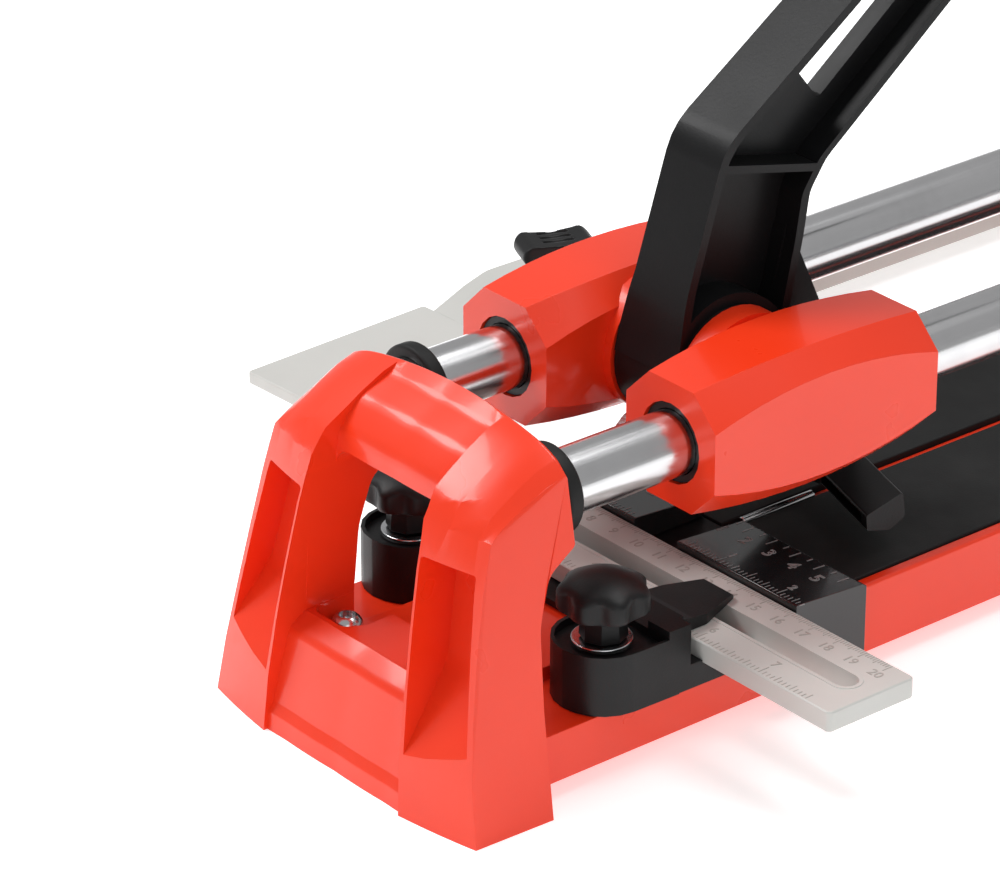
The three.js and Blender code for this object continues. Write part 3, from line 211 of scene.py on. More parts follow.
finishes = {
    "red_enamel": dict(tone=(0.86, 0.040, 0.008, 1), second=(0.80, 0.034, 0.006, 1), coat=0.3, coatRough=0.08,
                       specular=0.35, smooth=0.26, rough=0.36, grain=240.0, bump=0.12, depth=0.08),
    "black_rubber": dict(tone=(0.009, 0.009, 0.009, 1), second=(0.016, 0.016, 0.0155, 1), cloud=40.0,
                         specular=0.25, smooth=0.5, rough=0.68, grain=1500.0, bump=0.35, depth=0.12),
    "rail_chrome": dict(tone=(0.70, 0.70, 0.71, 1), second=(0.62, 0.62, 0.63, 1), metal=1.0, cloud=60.0,
                        smooth=0.14, rough=0.26, stretch=(1100.0, 14.0, 1100.0), bump=0.12, depth=0.02),
    "bright_zinc": dict(tone=(0.66, 0.67, 0.69, 1), second=(0.56, 0.57, 0.58, 1), metal=1.0, cloud=90.0,
                        smooth=0.16, rough=0.3, grain=1600.0, bump=0.1, depth=0.03),
    "turned_steel": dict(tone=(0.50, 0.50, 0.51, 1), second=(0.42, 0.42, 0.43, 1), metal=1.0, cloud=90.0,
                         smooth=0.2, rough=0.36, stretch=(20.0, 900.0, 900.0), bump=0.15, depth=0.03),
    "black_powder_coat": dict(tone=(0.006, 0.006, 0.0065, 1), second=(0.010, 0.010, 0.0105, 1), specular=0.18,
                              smooth=0.3, rough=0.42, grain=1100.0, bump=0.28, depth=0.1),
    "black_plastic": dict(tone=(0.006, 0.006, 0.0065, 1), second=(0.011, 0.011, 0.0115, 1), specular=0.28,
                          smooth=0.34, rough=0.5, grain=1500.0, bump=0.35, depth=0.1),
    "light_grey_enamel": dict(tone=(0.56, 0.56, 0.535, 1), second=(0.50, 0.50, 0.475, 1), coat=0.1,
                              coatRough=0.2, smooth=0.36, rough=0.5, grain=700.0, bump=0.2, depth=0.08),
    # this darker grey is the bar's side face as it looks in shade, so the bar's colour holds painted shade
    "bar_enamel": dict(tone=(0.40, 0.385, 0.36, 1), second=(0.34, 0.325, 0.30, 1), coat=0.1, coatRough=0.2,
                       smooth=0.36, rough=0.52, grain=700.0, bump=0.2, depth=0.08),
    "carbide": dict(tone=(0.20, 0.20, 0.21, 1), second=(0.14, 0.14, 0.15, 1), metal=1.0, cloud=120.0,
                    smooth=0.16, rough=0.3, grain=1800.0, bump=0.1, depth=0.02),
    # grey on marks that are really black like their block: painted highlight for the light caught along the
    # raised marks' edges
    "mark_painted_highlight": dict(tone=(0.30, 0.30, 0.30, 1), second=(0.12, 0.12, 0.12, 1), cloud=160.0,
                      smooth=0.2, rough=0.35, grain=1500.0, bump=0.2, depth=0.05),
    "polished_black": dict(tone=(0.010, 0.010, 0.011, 1), second=(0.018, 0.017, 0.017, 1), cloud=50.0, coat=0.3,
                           coatRough=0.08, smooth=0.12, rough=0.24, grain=500.0, bump=0.12, depth=0.04),
}
materials = {name: finish(name, look) for name, look in finishes.items()}
slotOf = {part["node"]: part["material_slot"] for part in frame["record"]["subparts"]}
for name, node in nodes.items():
    node.data.materials.clear()
    node.data.materials.append(materials[slotOf[name]])
print("materials made:", len(materials))


# meshes
mergeDistance = 2e-6  # m, corners closer than this are one
flatAngle = 0.6  # degrees, faces flatter than this become one


def placeMesh(name, mesh):
    piece = bpy.data.objects.new(name, mesh)
    scene.collection.objects.link(piece)
    return piece


def evaluated(piece):
    mesh = bpy.data.meshes.new_from_object(piece.evaluated_get(bpy.context.evaluated_depsgraph_get()))
    piece.modifiers.clear()
    old = piece.data
    piece.data = mesh
    bpy.data.meshes.remove(old)
    return piece


def smoothByAngle(mesh, degrees):
    shape = bmesh.new()
    shape.from_mesh(mesh)
    for face in shape.faces:
        face.smooth = True
    for edge in shape.edges:
        edge.smooth = len(edge.link_faces) == 2 and edge.calc_face_angle(0) < math.radians(degrees)
    shape.to_mesh(mesh)
    shape.free()


def dress(piece, body, slotName, replaced=(), surface=None):
    piece.data.materials.clear()
    piece.data.materials.append(materials[surface or slotName])
    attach(piece, body)
    if replaced:
        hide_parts(*replaced)
    return piece


def mergedCopy(node, flatten=True):
    mesh = nodes[node].data.copy()
    shape = bmesh.new()
    shape.from_mesh(mesh)
    bmesh.ops.remove_doubles(shape, verts=shape.verts, dist=mergeDistance)
    if flatten:
        angle = math.radians(flatAngle)
        bmesh.ops.dissolve_limit(shape, angle_limit=angle, verts=shape.verts, edges=shape.edges)
    shape.to_mesh(mesh)
    shape.free()
    return mesh


# a machined or folded part: its sharp edges get a small rounding
def roundEdges(node, width, steps=2, sharp=28, surface=None):
    piece = placeMesh(node + "_rounded", mergedCopy(node))
    if node in ("front_foot", "rear_foot"):
        smoothFoot(piece.data, 1 if node == "front_foot" else -1)
    bevel = piece.modifiers.new("rounding", "BEVEL")
    bevel.width = width * mm
    bevel.segments = steps
    bevel.limit_method = "ANGLE"
    bevel.angle_limit = math.radians(sharp)
    bevel.miter_outer = "MITER_ARC"
    evaluated(piece)
    smoothByAngle(piece.data, 40)
    weighted = piece.modifiers.new("weighting", "WEIGHTED_NORMAL")
    weighted.keep_sharp = True
    evaluated(piece)
    return dress(piece, nodes[node]["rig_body"], slotOf[node], [node], surface)


# the feet get more divisions across, then a rounder crown and a truer bow between the old ones
footShape = dict(
    halfWidth=58.5, sideLean=0.19, sideCurve=0.0005, backWider=1.4, backLean=0.115,  # the sides, front and back
    bow=6.4, steps=8, slice=2.4, inset=0.18,  # the front's bow and its divisions
    topDrop=6.6, shoulderDrop=5.2, shoulderStart=0.74,  # the rounder crown
    oldTopDrop=6, oldCornerDrop=3.5, oldCornerStart=0.82,  # the crown as it comes
    crownFrom=81, crownOver=15, sleeveGap=15, sleeveBlend=5,  # where the two changes fade in
)


def footHalfWidth(y, z, front, sleeve):
    toBack = min(max((y - front) / (sleeve - front), 0), 1)
    frontHalf = footShape["halfWidth"] - footShape["sideLean"] * z + footShape["sideCurve"] * z * z
    backHalf = footShape["halfWidth"] + footShape["backWider"] - footShape["backLean"] * z
    return frontHalf + (backHalf - frontHalf) * toBack


def steppedValue(rule, across):
    # what a straight-faced foot has at this place: the rule's values joined by straight lines
    steps = [math.sin(math.pi / 2 * (2 * k / footShape["steps"] - 1)) for k in range(footShape["steps"] + 1)]
    for low, high in zip(steps, steps[1:]):
        if across <= high:
            share = (across - low) / (high - low)
            return rule(low) * (1 - share) + rule(high) * share
    return rule(1.0)


def oldDrop(across):
    corner = max(0, (abs(across) - footShape["oldCornerStart"]) / (1 - footShape["oldCornerStart"]))
    return footShape["oldTopDrop"] * across ** 2 + footShape["oldCornerDrop"] * corner ** 2


def roundDrop(across):
    corner = max(0, (abs(across) - footShape["shoulderStart"]) / (1 - footShape["shoulderStart"]))
    shoulder = 1 - math.sqrt(max(0, 1 - corner ** 2))
    return footShape["topDrop"] * across ** 2 + footShape["shoulderDrop"] * shoulder


def bowAt(across):
    return footShape["bow"] * (1 - across ** 2)


def smoothFoot(mesh, end):
    low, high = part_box("front_foot")
    front = low.y / mm + 0.28 * footShape["bow"]
    sleeve = high.y / mm
    shape = bmesh.new()
    shape.from_mesh(mesh)
    cuts = int(footShape["halfWidth"] / footShape["slice"])
    for k in range(-cuts, cuts + 1):
        everything = shape.verts[:] + shape.edges[:] + shape.faces[:]
        place = (middleX + k * footShape["slice"] * mm, 0, 0)
        bmesh.ops.bisect_plane(shape, geom=everything, dist=1e-7, plane_co=place, plane_no=(1, 0, 0))
    for vert in shape.verts:
        x, y, z = (vert.co.x - middleX) / mm, vert.co.y / mm * end, vert.co.z / mm
        across = max(-1, min(1, x / footHalfWidth(y, z, front, sleeve)))
        fade = min(max((z - footShape["crownFrom"]) / footShape["crownOver"], 0), 1)
        vert.co.z -= (roundDrop(across) - steppedValue(oldDrop, across)) * fade * mm
        ahead = min(max((sleeve - footShape["sleeveGap"] - y) / footShape["sleeveBlend"], 0), 1)
        outward = bowAt(across) - steppedValue(bowAt, across) - footShape["inset"]
        vert.co.y -= end * outward * ahead * mm
    shape.to_mesh(mesh)
    shape.free()


roundings = {
    "front_foot": 1.3, "rear_foot": 1.3,
    "barrel_right": 1.2, "barrel_left": 1.2, "base_channel": 0.5, "lever": 0.9, "breaker_foot": 0.8,
    "bracket_right": 0.6, "bracket_left": 0.6, "scale_block_right": 0.45, "scale_block_left": 0.45,
    "ruler": 0.35, "fence_seat": 0.3, "support_plate": 0.5, "side_bar": 0.5, "link_front": 0.4,
    "link_rear": 0.4, "wheel_holder": 0.3, "cutting_wheel": 0.1, "pad_right": 0.4, "pad_left": 0.4,
}
for node, width in roundings.items():
    roundEdges(node, width, surface="polished_black" if "scale_block" in node else None)
print("rounded parts done")


# turned parts

def turned(name, profile, segments, axis="Z"):
    shape = bmesh.new()
    rings = []
    for radius, height in profile:
        if radius < 1e-6:
            rings.append([shape.verts.new((0, 0, height * mm))])
            continue
        ring = []
        for k in range(segments):
            angle = 2 * math.pi * k / segments
            place = (radius * mm * math.cos(angle), radius * mm * math.sin(angle), height * mm)
            ring.append(shape.verts.new(place))
        rings.append(ring)
    for lower, upper in zip(rings, rings[1:]):
        for k in range(segments):
            n = (k + 1) % segments
            corners = [lower[k % len(lower)], lower[n % len(lower)],
                       upper[n % len(upper)], upper[k % len(upper)]]
            unique = list(dict.fromkeys(corners))
            if len(unique) > 2:
                shape.faces.new(unique)
    bmesh.ops.remove_doubles(shape, verts=shape.verts, dist=1e-7)
    bmesh.ops.recalc_face_normals(shape, faces=shape.faces)
    if axis == "Y":
        bmesh.ops.rotate(shape, verts=shape.verts, cent=(0, 0, 0), matrix=Matrix.Rotation(-math.pi / 2, 3, "X"))
    if axis == "X":
        bmesh.ops.rotate(shape, verts=shape.verts, cent=(0, 0, 0), matrix=Matrix.Rotation(math.pi / 2, 3, "Y"))
    mesh = bpy.data.meshes.new(name)
    shape.to_mesh(mesh)
    shape.free()
    smoothByAngle(mesh, 35)
    return mesh


# a closed ring profile with rounded corners
def ringProfile(inner, outer, low, high, rounding, steps=4):
    points = [(inner, low + rounding * 0.5)]
    for cornerR, cornerH, start in ((outer, low, -90), (outer, high, 0)):
        for k in range(steps + 1):
            angle = math.radians(start + 90 * k / steps)
            centreH = cornerH + rounding if start < 0 else cornerH - rounding
            centreR = cornerR - rounding
            points.append((centreR + rounding * math.cos(angle), centreH + rounding * math.sin(angle)))
    points.append((inner, high - rounding * 0.5))
    points.append(points[0])
    return points


def middleOf(node):
    low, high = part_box(node)
    return (low + high) / 2


railSize = dict(segments=96, wall=1.6)
for node in ("rail_right", "rail_left"):
    low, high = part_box(node)
    centre = middleOf(node)
    radius = (high.x - low.x) / 2 / mm
    profile = [(radius - railSize["wall"], low.y / mm), (radius, low.y / mm), (radius, high.y / mm),
               (radius - railSize["wall"], high.y / mm), (radius - railSize["wall"], low.y / mm)]
    mesh = turned(node + "_tube", profile, railSize["segments"], "Y")
    mesh.transform(Matrix.Translation((centre.x, 0, centre.z)))
    dress(placeMesh(node + "_tube", mesh), "base", slotOf[node], [node])

ringSize = dict(segments=72, rounding=1.1, bore=9.75)
for node in ("ring_front_right", "ring_front_left", "ring_rear_right", "ring_rear_left"):
    low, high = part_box(node)
    centre = middleOf(node)
    outer = (high.z - low.z) / 2 / mm
    profile = ringProfile(ringSize["bore"], outer, low.y / mm, high.y / mm, ringSize["rounding"])
    mesh = turned(node + "_round", profile, ringSize["segments"], "Y")
    mesh.transform(Matrix.Translation((centre.x, 0, centre.z)))
    dress(placeMesh(node + "_round", mesh), "base", slotOf[node], [node])

washerSize = dict(segments=64, rounding=0.5, bore=3.4)
for node in ("washer_right", "washer_left", "plate_washer"):
    low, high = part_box(node)
    centre = middleOf(node)
    outer = (high.x - low.x) / 2 / mm
    profile = ringProfile(washerSize["bore"], outer, low.z / mm, high.z / mm, washerSize["rounding"])
    mesh = turned(node + "_round", profile, washerSize["segments"])
    mesh.transform(Matrix.Translation((centre.x, centre.y, 0)))
    dress(placeMesh(node + "_round", mesh), nodes[node]["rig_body"], slotOf[node], [node])

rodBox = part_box("breaking_rod")
rodRadius = (rodBox[1].x - rodBox[0].x) / 2 / mm
rodEnds = [(0, rodBox[0].y / mm), (rodRadius - 0.3, rodBox[0].y / mm), (rodRadius, rodBox[0].y / mm + 0.3),
           (rodRadius, rodBox[1].y / mm - 0.3), (rodRadius - 0.3, rodBox[1].y / mm), (0, rodBox[1].y / mm)]
rodMesh = turned("breaking_rod_round", rodEnds, 48, "Y")
rodMesh.transform(Matrix.Translation((middleOf("breaking_rod").x, 0, middleOf("breaking_rod").z)))
dress(placeMesh("breaking_rod_round", rodMesh), "base", "rail_chrome", ["breaking_rod"])
print("turned parts done")


# geometry node trees

def geometryTree(name, sockets):
    tree = bpy.data.node_groups.new(name, "GeometryNodeTree")
    tree.interface.new_socket("Geometry", in_out="INPUT", socket_type="NodeSocketGeometry")
    for label, kind, value in sockets:
        socket = tree.interface.new_socket(label, in_out="INPUT", socket_type=kind)
        if value is not None:
            socket.default_value = value
    tree.interface.new_socket("Geometry", in_out="OUTPUT", socket_type="NodeSocketGeometry")
    return tree, tree.nodes.new("NodeGroupInput"), tree.nodes.new("NodeGroupOutput")


def mathNode(tree, operation, *values):
    node = tree.nodes.new("ShaderNodeMath")
    node.operation = operation
    for socket, value in zip(node.inputs, values):
        if isinstance(value, (int, float)):
            socket.default_value = value
        else:
            tree.links.new(value, socket)
    return node.outputs[0]


def closeTree(tree, geometry, given, out):
    realize = tree.nodes.new("GeometryNodeRealizeInstances")
    setMaterial = tree.nodes.new("GeometryNodeSetMaterial")
    tree.links.new(geometry, realize.inputs["Geometry"])
    tree.links.new(realize.outputs["Geometry"], setMaterial.inputs["Geometry"])
    tree.links.new(given.outputs["Material"], setMaterial.inputs["Material"])
    tree.links.new(setMaterial.outputs["Geometry"], out.inputs["Geometry"])
    return tree


def runTree(name, tree, values, start=None):
    piece = placeMesh(name, start or bpy.data.meshes.new(name + "_start"))
    modifier = piece.modifiers.new("build", "NODES")
    modifier.node_group = tree
    for item in tree.interface.items_tree:
        if item.item_type == "SOCKET" and item.in_out == "INPUT" and item.name in values:
            modifier[item.identifier] = values[item.name]
    evaluated(piece)
    return piece


def makeTickTree():
    # a row of raised marks along X, long, middle and short ones in turn
    tree, given, out = geometryTree("tickRow", [
        ("Count", "NodeSocketInt", 10), ("Pitch", "NodeSocketFloat", 0.001),
        ("Width", "NodeSocketFloat", 0.0002), ("Height", "NodeSocketFloat", 0.0003),
        ("Short", "NodeSocketFloat", 0.001), ("Middle", "NodeSocketFloat", 0.002),
        ("Long", "NodeSocketFloat", 0.003), ("Middle Every", "NodeSocketInt", 5),
        ("Long Every", "NodeSocketInt", 10), ("Material", "NodeSocketMaterial", None)])
    link = tree.links.new
    line = tree.nodes.new("GeometryNodeMeshLine")
    step = tree.nodes.new("ShaderNodeCombineXYZ")
    link(given.outputs["Pitch"], step.inputs["X"])
    link(given.outputs["Count"], line.inputs["Count"])
    link(step.outputs[0], line.inputs["Offset"])
    index = tree.nodes.new("GeometryNodeInputIndex").outputs[0]
    isLong = mathNode(tree, "LESS_THAN", mathNode(tree, "MODULO", index, given.outputs["Long Every"]), 0.5)
    isMiddle = mathNode(tree, "LESS_THAN", mathNode(tree, "MODULO", index, given.outputs["Middle Every"]), 0.5)
    extra = mathNode(tree, "SUBTRACT", given.outputs["Middle"], given.outputs["Short"])
    middle = mathNode(tree, "MULTIPLY_ADD", isMiddle, extra, given.outputs["Short"])
    extra = mathNode(tree, "SUBTRACT", given.outputs["Long"], middle)
    length = mathNode(tree, "MULTIPLY_ADD", isLong, extra, middle)
    shift = tree.nodes.new("ShaderNodeCombineXYZ")
    link(mathNode(tree, "MULTIPLY", length, 0.5), shift.inputs["Y"])
    move = tree.nodes.new("GeometryNodeSetPosition")
    link(line.outputs["Mesh"], move.inputs["Geometry"])
    link(shift.outputs[0], move.inputs["Offset"])
    bar = tree.nodes.new("GeometryNodeMeshCube")
    bar.inputs["Size"].default_value = (1, 1, 1)
    scale = tree.nodes.new("ShaderNodeCombineXYZ")
    link(given.outputs["Width"], scale.inputs["X"])
    # the length is read where the marks have already moved, so it is stored on the points first
    store = tree.nodes.new("GeometryNodeStoreNamedAttribute")
    store.data_type = "FLOAT"
    store.inputs["Name"].default_value = "markLength"
    link(move.outputs["Geometry"], store.inputs["Geometry"])
    link(length, store.inputs["Value"])
    read = tree.nodes.new("GeometryNodeInputNamedAttribute")
    read.data_type = "FLOAT"
    read.inputs["Name"].default_value = "markLength"
    link(read.outputs["Attribute"], scale.inputs["Y"])
    link(given.outputs["Height"], scale.inputs["Z"])
    instances = tree.nodes.new("GeometryNodeInstanceOnPoints")
    link(store.outputs["Geometry"], instances.inputs["Points"])
    link(bar.outputs["Mesh"], instances.inputs["Instance"])
    link(scale.outputs[0], instances.inputs["Scale"])
    return closeTree(tree, instances.outputs["Instances"], given, out)


def makeLobeTree():
    # draws the rim of a turned head in and out between its lobes
    tree, given, out = geometryTree("lobedHead", [
        ("Lobes", "NodeSocketFloat", 7.0), ("Dip", "NodeSocketFloat", 0.002),
        ("Neck Radius", "NodeSocketFloat", 0.007), ("Rim Radius", "NodeSocketFloat", 0.013),
        ("Turn", "NodeSocketFloat", 0.0), ("Material", "NodeSocketMaterial", None)])
    link = tree.links.new
    position = tree.nodes.new("GeometryNodeInputPosition")
    split = tree.nodes.new("ShaderNodeSeparateXYZ")
    link(position.outputs[0], split.inputs[0])
    x, y = split.outputs["X"], split.outputs["Y"]
    squares = mathNode(tree, "ADD", mathNode(tree, "MULTIPLY", x, x), mathNode(tree, "MULTIPLY", y, y))
    reach = mathNode(tree, "SQRT", squares)
    angle = mathNode(tree, "ADD", mathNode(tree, "ARCTAN2", y, x), given.outputs["Turn"])
    wave = mathNode(tree, "COSINE", mathNode(tree, "MULTIPLY", angle, given.outputs["Lobes"]))
    valley = mathNode(tree, "POWER", mathNode(tree, "MULTIPLY_ADD", wave, -0.5, 0.5), 1.2)
    span = mathNode(tree, "SUBTRACT", given.outputs["Rim Radius"], given.outputs["Neck Radius"])
    fade = mathNode(tree, "DIVIDE", mathNode(tree, "SUBTRACT", reach, given.outputs["Neck Radius"]), span)
    clamped = mathNode(tree, "MINIMUM", mathNode(tree, "MAXIMUM", fade, 0.0), 1.0)
    nearRim = mathNode(tree, "POWER", clamped, 5.0)
    pull = mathNode(tree, "MULTIPLY", mathNode(tree, "MULTIPLY", valley, nearRim), given.outputs["Dip"])
    share = mathNode(tree, "DIVIDE", pull, mathNode(tree, "MAXIMUM", reach, 1e-5))
    offset = tree.nodes.new("ShaderNodeCombineXYZ")
    link(mathNode(tree, "MULTIPLY", mathNode(tree, "MULTIPLY", x, share), -1.0), offset.inputs["X"])
    link(mathNode(tree, "MULTIPLY", mathNode(tree, "MULTIPLY", y, share), -1.0), offset.inputs["Y"])
    move = tree.nodes.new("GeometryNodeSetPosition")
    link(given.outputs["Geometry"], move.inputs["Geometry"])
    link(offset.outputs[0], move.inputs["Offset"])
    return closeTree(tree, move.outputs["Geometry"], given, out)


def makeCopiesTree():
    # stands the given mesh at evenly spaced places of a small grid
    tree, given, out = geometryTree("copiesOnGrid", [
        ("Across", "NodeSocketInt", 2), ("Along", "NodeSocketInt", 2), ("Across Span", "NodeSocketFloat", 0.05),
        ("Along Span", "NodeSocketFloat", 0.05), ("Material", "NodeSocketMaterial", None)])
    link = tree.links.new
    grid = tree.nodes.new("GeometryNodeMeshGrid")
    link(given.outputs["Across Span"], grid.inputs["Size X"])
    link(given.outputs["Along Span"], grid.inputs["Size Y"])
    link(given.outputs["Across"], grid.inputs["Vertices X"])
    link(given.outputs["Along"], grid.inputs["Vertices Y"])
    instances = tree.nodes.new("GeometryNodeInstanceOnPoints")
    link(grid.outputs["Mesh"], instances.inputs["Points"])
    link(given.outputs["Geometry"], instances.inputs["Instance"])
    return closeTree(tree, instances.outputs["Instances"], given, out)


tickTree = makeTickTree()
lobeTree = makeLobeTree()
copiesTree = makeCopiesTree()
print("geometry node trees made")


# clamp knobs

knobSize = dict(lobes=7, radius=13.3, dip=2.0, neck=7.0, headHeight=10.6, segments=168, turn=0.35,
                neckSides=8, studRadius=3.0)


def makeKnob(node):
    low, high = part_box(node)
    centre = middleOf(node)
    top = high.z / mm
    head = top - knobSize["headHeight"]
    r = knobSize["radius"]
    profile = [(0, head - 1), (knobSize["neck"] - 1, head - 1), (knobSize["neck"], head),
               (r - 1.4, head + 0.1), (r - 0.5, head + 0.4), (r - 0.1, head + 1.0), (r, head + 1.8),
               (r, head + 5.4), (r - 0.2, head + 6.0),
               (r - 0.8, head + 6.7), (r - 1.9, head + 7.5), (r - 3.6, head + 8.4), (r - 6.0, head + 9.4),
               (r - 8.8, head + 10.15), (r - 11.4, head + 10.5), (0, top)]
    start = turned(node + "_head", profile, knobSize["segments"])
    piece = runTree(node + "_lobed", lobeTree, {
        "Lobes": float(knobSize["lobes"]), "Dip": knobSize["dip"] * mm, "Neck Radius": knobSize["neck"] * mm,
        "Rim Radius": r * mm, "Turn": knobSize["turn"], "Material": materials["black_plastic"]}, start)
    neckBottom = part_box("washer_right")[1].z / mm + 0.35
    neckProfile = [(0, neckBottom), (6.6, neckBottom), (6.9, neckBottom + 0.4), (6.2, head - 0.2),
                   (0, head - 0.2)]
    neck = turned(node + "_neck", neckProfile, knobSize["neckSides"])
    bottom, studTop, studRadius = low.z / mm, neckBottom + 0.5, knobSize["studRadius"]
    studProfile = [(0, bottom), (studRadius - 0.3, bottom), (studRadius, bottom + 0.4), (studRadius, studTop),
                   (0, studTop)]
    stud = turned(node + "_stud", studProfile, 32)
    return joined(node + "_lobed", [(piece.data, None), (neck, None), (stud, None)], piece), centre


def joined(name, meshes, piece=None):
    shape = bmesh.new()
    for mesh, matrix in meshes:
        part = mesh.copy()
        if matrix:
            part.transform(matrix)
        shape.from_mesh(part)
        bpy.data.meshes.remove(part)
    mesh = bpy.data.meshes.new(name)
    shape.to_mesh(mesh)
    shape.free()
    if piece is None:
        return placeMesh(name, mesh)
    piece.data = mesh
    return piece


for node, body in (("knob_right", "clamp_knob_right"), ("knob_left", "clamp_knob_left")):
    knob, centre = makeKnob(node)
    smoothByAngle(knob.data, 32)
    knob.data.transform(Matrix.Translation((centre.x, centre.y, 0)))
    dress(knob, body, "black_plastic", [node])
print("knobs done")


# foot screws: one domed head with a hexagon socket, copied to the four places

screwSize = dict(head=4.75, shank=2.5, height=3.6, socket=2.3, depth=2.0, segments=48)
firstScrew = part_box("front_foot_screw_right")
seat = firstScrew[1].z / mm - screwSize["height"]
h = screwSize["head"]
shank, socket = screwSize["shank"], screwSize["socket"]
top = seat + screwSize["height"]
tip = firstScrew[0].z / mm
screwProfile = [(0, tip), (shank, tip), (shank, seat), (h - 0.2, seat), (h, seat + 0.3), (h, seat + 0.9),
                (h * 0.95, seat + 1.7), (h * 0.82, seat + 2.6), (h * 0.66, seat + 3.3),
                (socket + 0.3, top), (socket, top), (socket, top - screwSize["depth"]),
                (0, top - screwSize["depth"] - 0.3)]
screwMesh = turned("foot_screw", screwProfile, screwSize["segments"])
frontScrew = middleOf("front_foot_screw_right")
acrossSpan = frontScrew.x - middleOf("front_foot_screw_left").x
alongSpan = middleOf("rear_foot_screw_right").y - frontScrew.y
footScrews = runTree("foot_screws", copiesTree, {
    "Across": 2, "Along": 2, "Across Span": acrossSpan, "Along Span": alongSpan,
    "Material": materials["bright_zinc"]}, screwMesh)
footScrews.data.transform(Matrix.Translation((middleX, frontScrew.y + alongSpan / 2, 0)))
dress(footScrews, "base", "bright_zinc", [n for n in nodes if "foot_screw" in n])
print("foot screws done")


# marks on the scale blocks and the ruler

def numeral(text, size, thickness=0.12, outlined=0.0):
    curve = bpy.data.curves.new("numeral", "FONT")
    curve.body = text
    curve.size = size * mm
    curve.align_x = "CENTER"
    curve.align_y = "CENTER"
    curve.resolution_u = 4
    if outlined:
        curve.fill_mode = "NONE"
        curve.bevel_depth = outlined * mm
        curve.bevel_resolution = 1
    else:
        curve.extrude = thickness * mm
    holder = bpy.data.objects.new("numeral", curve)
    scene.collection.objects.link(holder)
    mesh = bpy.data.meshes.new_from_object(holder.evaluated_get(bpy.context.evaluated_depsgraph_get()))
    bpy.data.objects.remove(holder)
    shape = bmesh.new()
    shape.from_mesh(mesh)
    bmesh.ops.remove_doubles(shape, verts=shape.verts, dist=1e-7)
    bmesh.ops.recalc_face_normals(shape, faces=shape.faces)
    shape.to_mesh(mesh)
    shape.free()
    return mesh


def tickMesh(count, pitch, short, middle, long, middleEvery, longEvery, width=0.22, height=0.3):
    piece = runTree("ticks", tickTree, {
        "Count": count, "Pitch": pitch * mm, "Width": width * mm, "Height": height * mm, "Short": short * mm,
        "Middle": middle * mm, "Long": long * mm, "Middle Every": middleEvery, "Long Every": longEvery,
        "Material": materials["mark_painted_highlight"]})
    mesh = piece.data
    bpy.data.objects.remove(piece)
    return mesh


inch = 25.4
# the starts are for the right block, 1, and the left, -1
blockMarks = dict(frontTop=36.5, backTop=34.8, numeral=6.2, smallNumeral=4.2,
                  centimetreStart={1: 10, -1: 55}, inchStart={1: 12.7, -1: 59.7})


def markBlock(node, side):
    low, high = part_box(node)
    front, back = low.y / mm, high.y / mm - 1.9
    slope = (blockMarks["backTop"] - blockMarks["frontTop"]) / (back - front)
    lean = Matrix.Rotation(math.atan(slope), 4, "X")

    def onTop(x, y, lift=0.0):
        height = blockMarks["frontTop"] + slope * (y - front) + lift
        return Matrix.Translation((middleX + side * x * mm, y * mm, height * mm)) @ lean

    # centimetres hang from the back edge, half centimetres between them
    centimetres = tickMesh(10, 5.0, 2.2, 2.2, 4.4, 2, 2, 0.35, 0.3)
    hanging = Matrix.Rotation(math.pi, 4, "Z") @ Matrix.Translation((-45 * mm, 0, 0))
    parts = [(centimetres, onTop(blockMarks["centimetreStart"][side], back - 0.6) @ hanging)]
    inches = tickMesh(31, inch / 16, 2.0, 3.2, 4.2, 4, 8, 0.22, 0.26)
    parts.append((inches, onTop(blockMarks["inchStart"][side], front + 0.7)))
    for k in range(1, 6):
        digit = numeral(str(k), blockMarks["numeral"], outlined=0.17)
        parts.append((digit, onTop(10 * k, back - 8.4, 0.02)))
    for k in (1, 2):
        digit = numeral(str(k), blockMarks["smallNumeral"], outlined=0.15)
        parts.append((digit, onTop(inch * k, front + 7.0, 0.02)))
    piece = joined(node + "_marks", parts)
    # the raised marks are black like the block; the grey finish on them is painted highlight along their edges
    return dress(piece, "base", "black_plastic", surface="mark_painted_highlight")


markBlock("scale_block_right", 1)
markBlock("scale_block_left", -1)

rulerMarks = dict(start=-100.0, inchStart=-99.0, count=201, inchCount=125, numeral=4.6, inchNumeral=4.4,
                  thickness=0.14, sink=0.25, edge=0.8, numeralEdge=7.2)
low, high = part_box("ruler")
rulerTop = high.z / mm - rulerMarks["sink"]
rulerFront, rulerBack = low.y / mm, high.y / mm


def onRuler(x, y):
    return Matrix.Translation((middleX + x * mm, y * mm, rulerTop * mm))


millimetreRow = tickMesh(rulerMarks["count"], 1.0, 1.7, 2.6, 3.6, 5, 10, 0.2, 0.24)
inchRow = tickMesh(rulerMarks["inchCount"], inch / 16, 1.8, 2.8, 4.0, 4, 16, 0.24, 0.24)
halfTurn = Matrix.Rotation(math.pi, 4, "Z")
rulerParts = [
    (millimetreRow, onRuler(-rulerMarks["start"], rulerBack - rulerMarks["edge"]) @ halfTurn),
    (inchRow, onRuler(rulerMarks["inchStart"], rulerFront + rulerMarks["edge"])),
]
for k in range(1, 21):
    digit = numeral(str(k), rulerMarks["numeral"], rulerMarks["thickness"])
    rulerParts.append((digit, onRuler(rulerMarks["start"] + 10 * k, rulerBack - rulerMarks["numeralEdge"])))
for k in range(1, 8):
    digit = numeral(str(k), rulerMarks["inchNumeral"], rulerMarks["thickness"])
    place = onRuler(rulerMarks["inchStart"] + inch * k, rulerFront + rulerMarks["numeralEdge"])
    rulerParts.append((digit, place))
# the marks are raised in the ruler's own grey; the darker bar enamel on them is painted shade along the raised
# marks
dress(joined("ruler_marks", rulerParts), "ruler_body", "light_grey_enamel", surface="bar_enamel")
print("marks done")


# wing knob with three grooves, and the hand grip with ribs

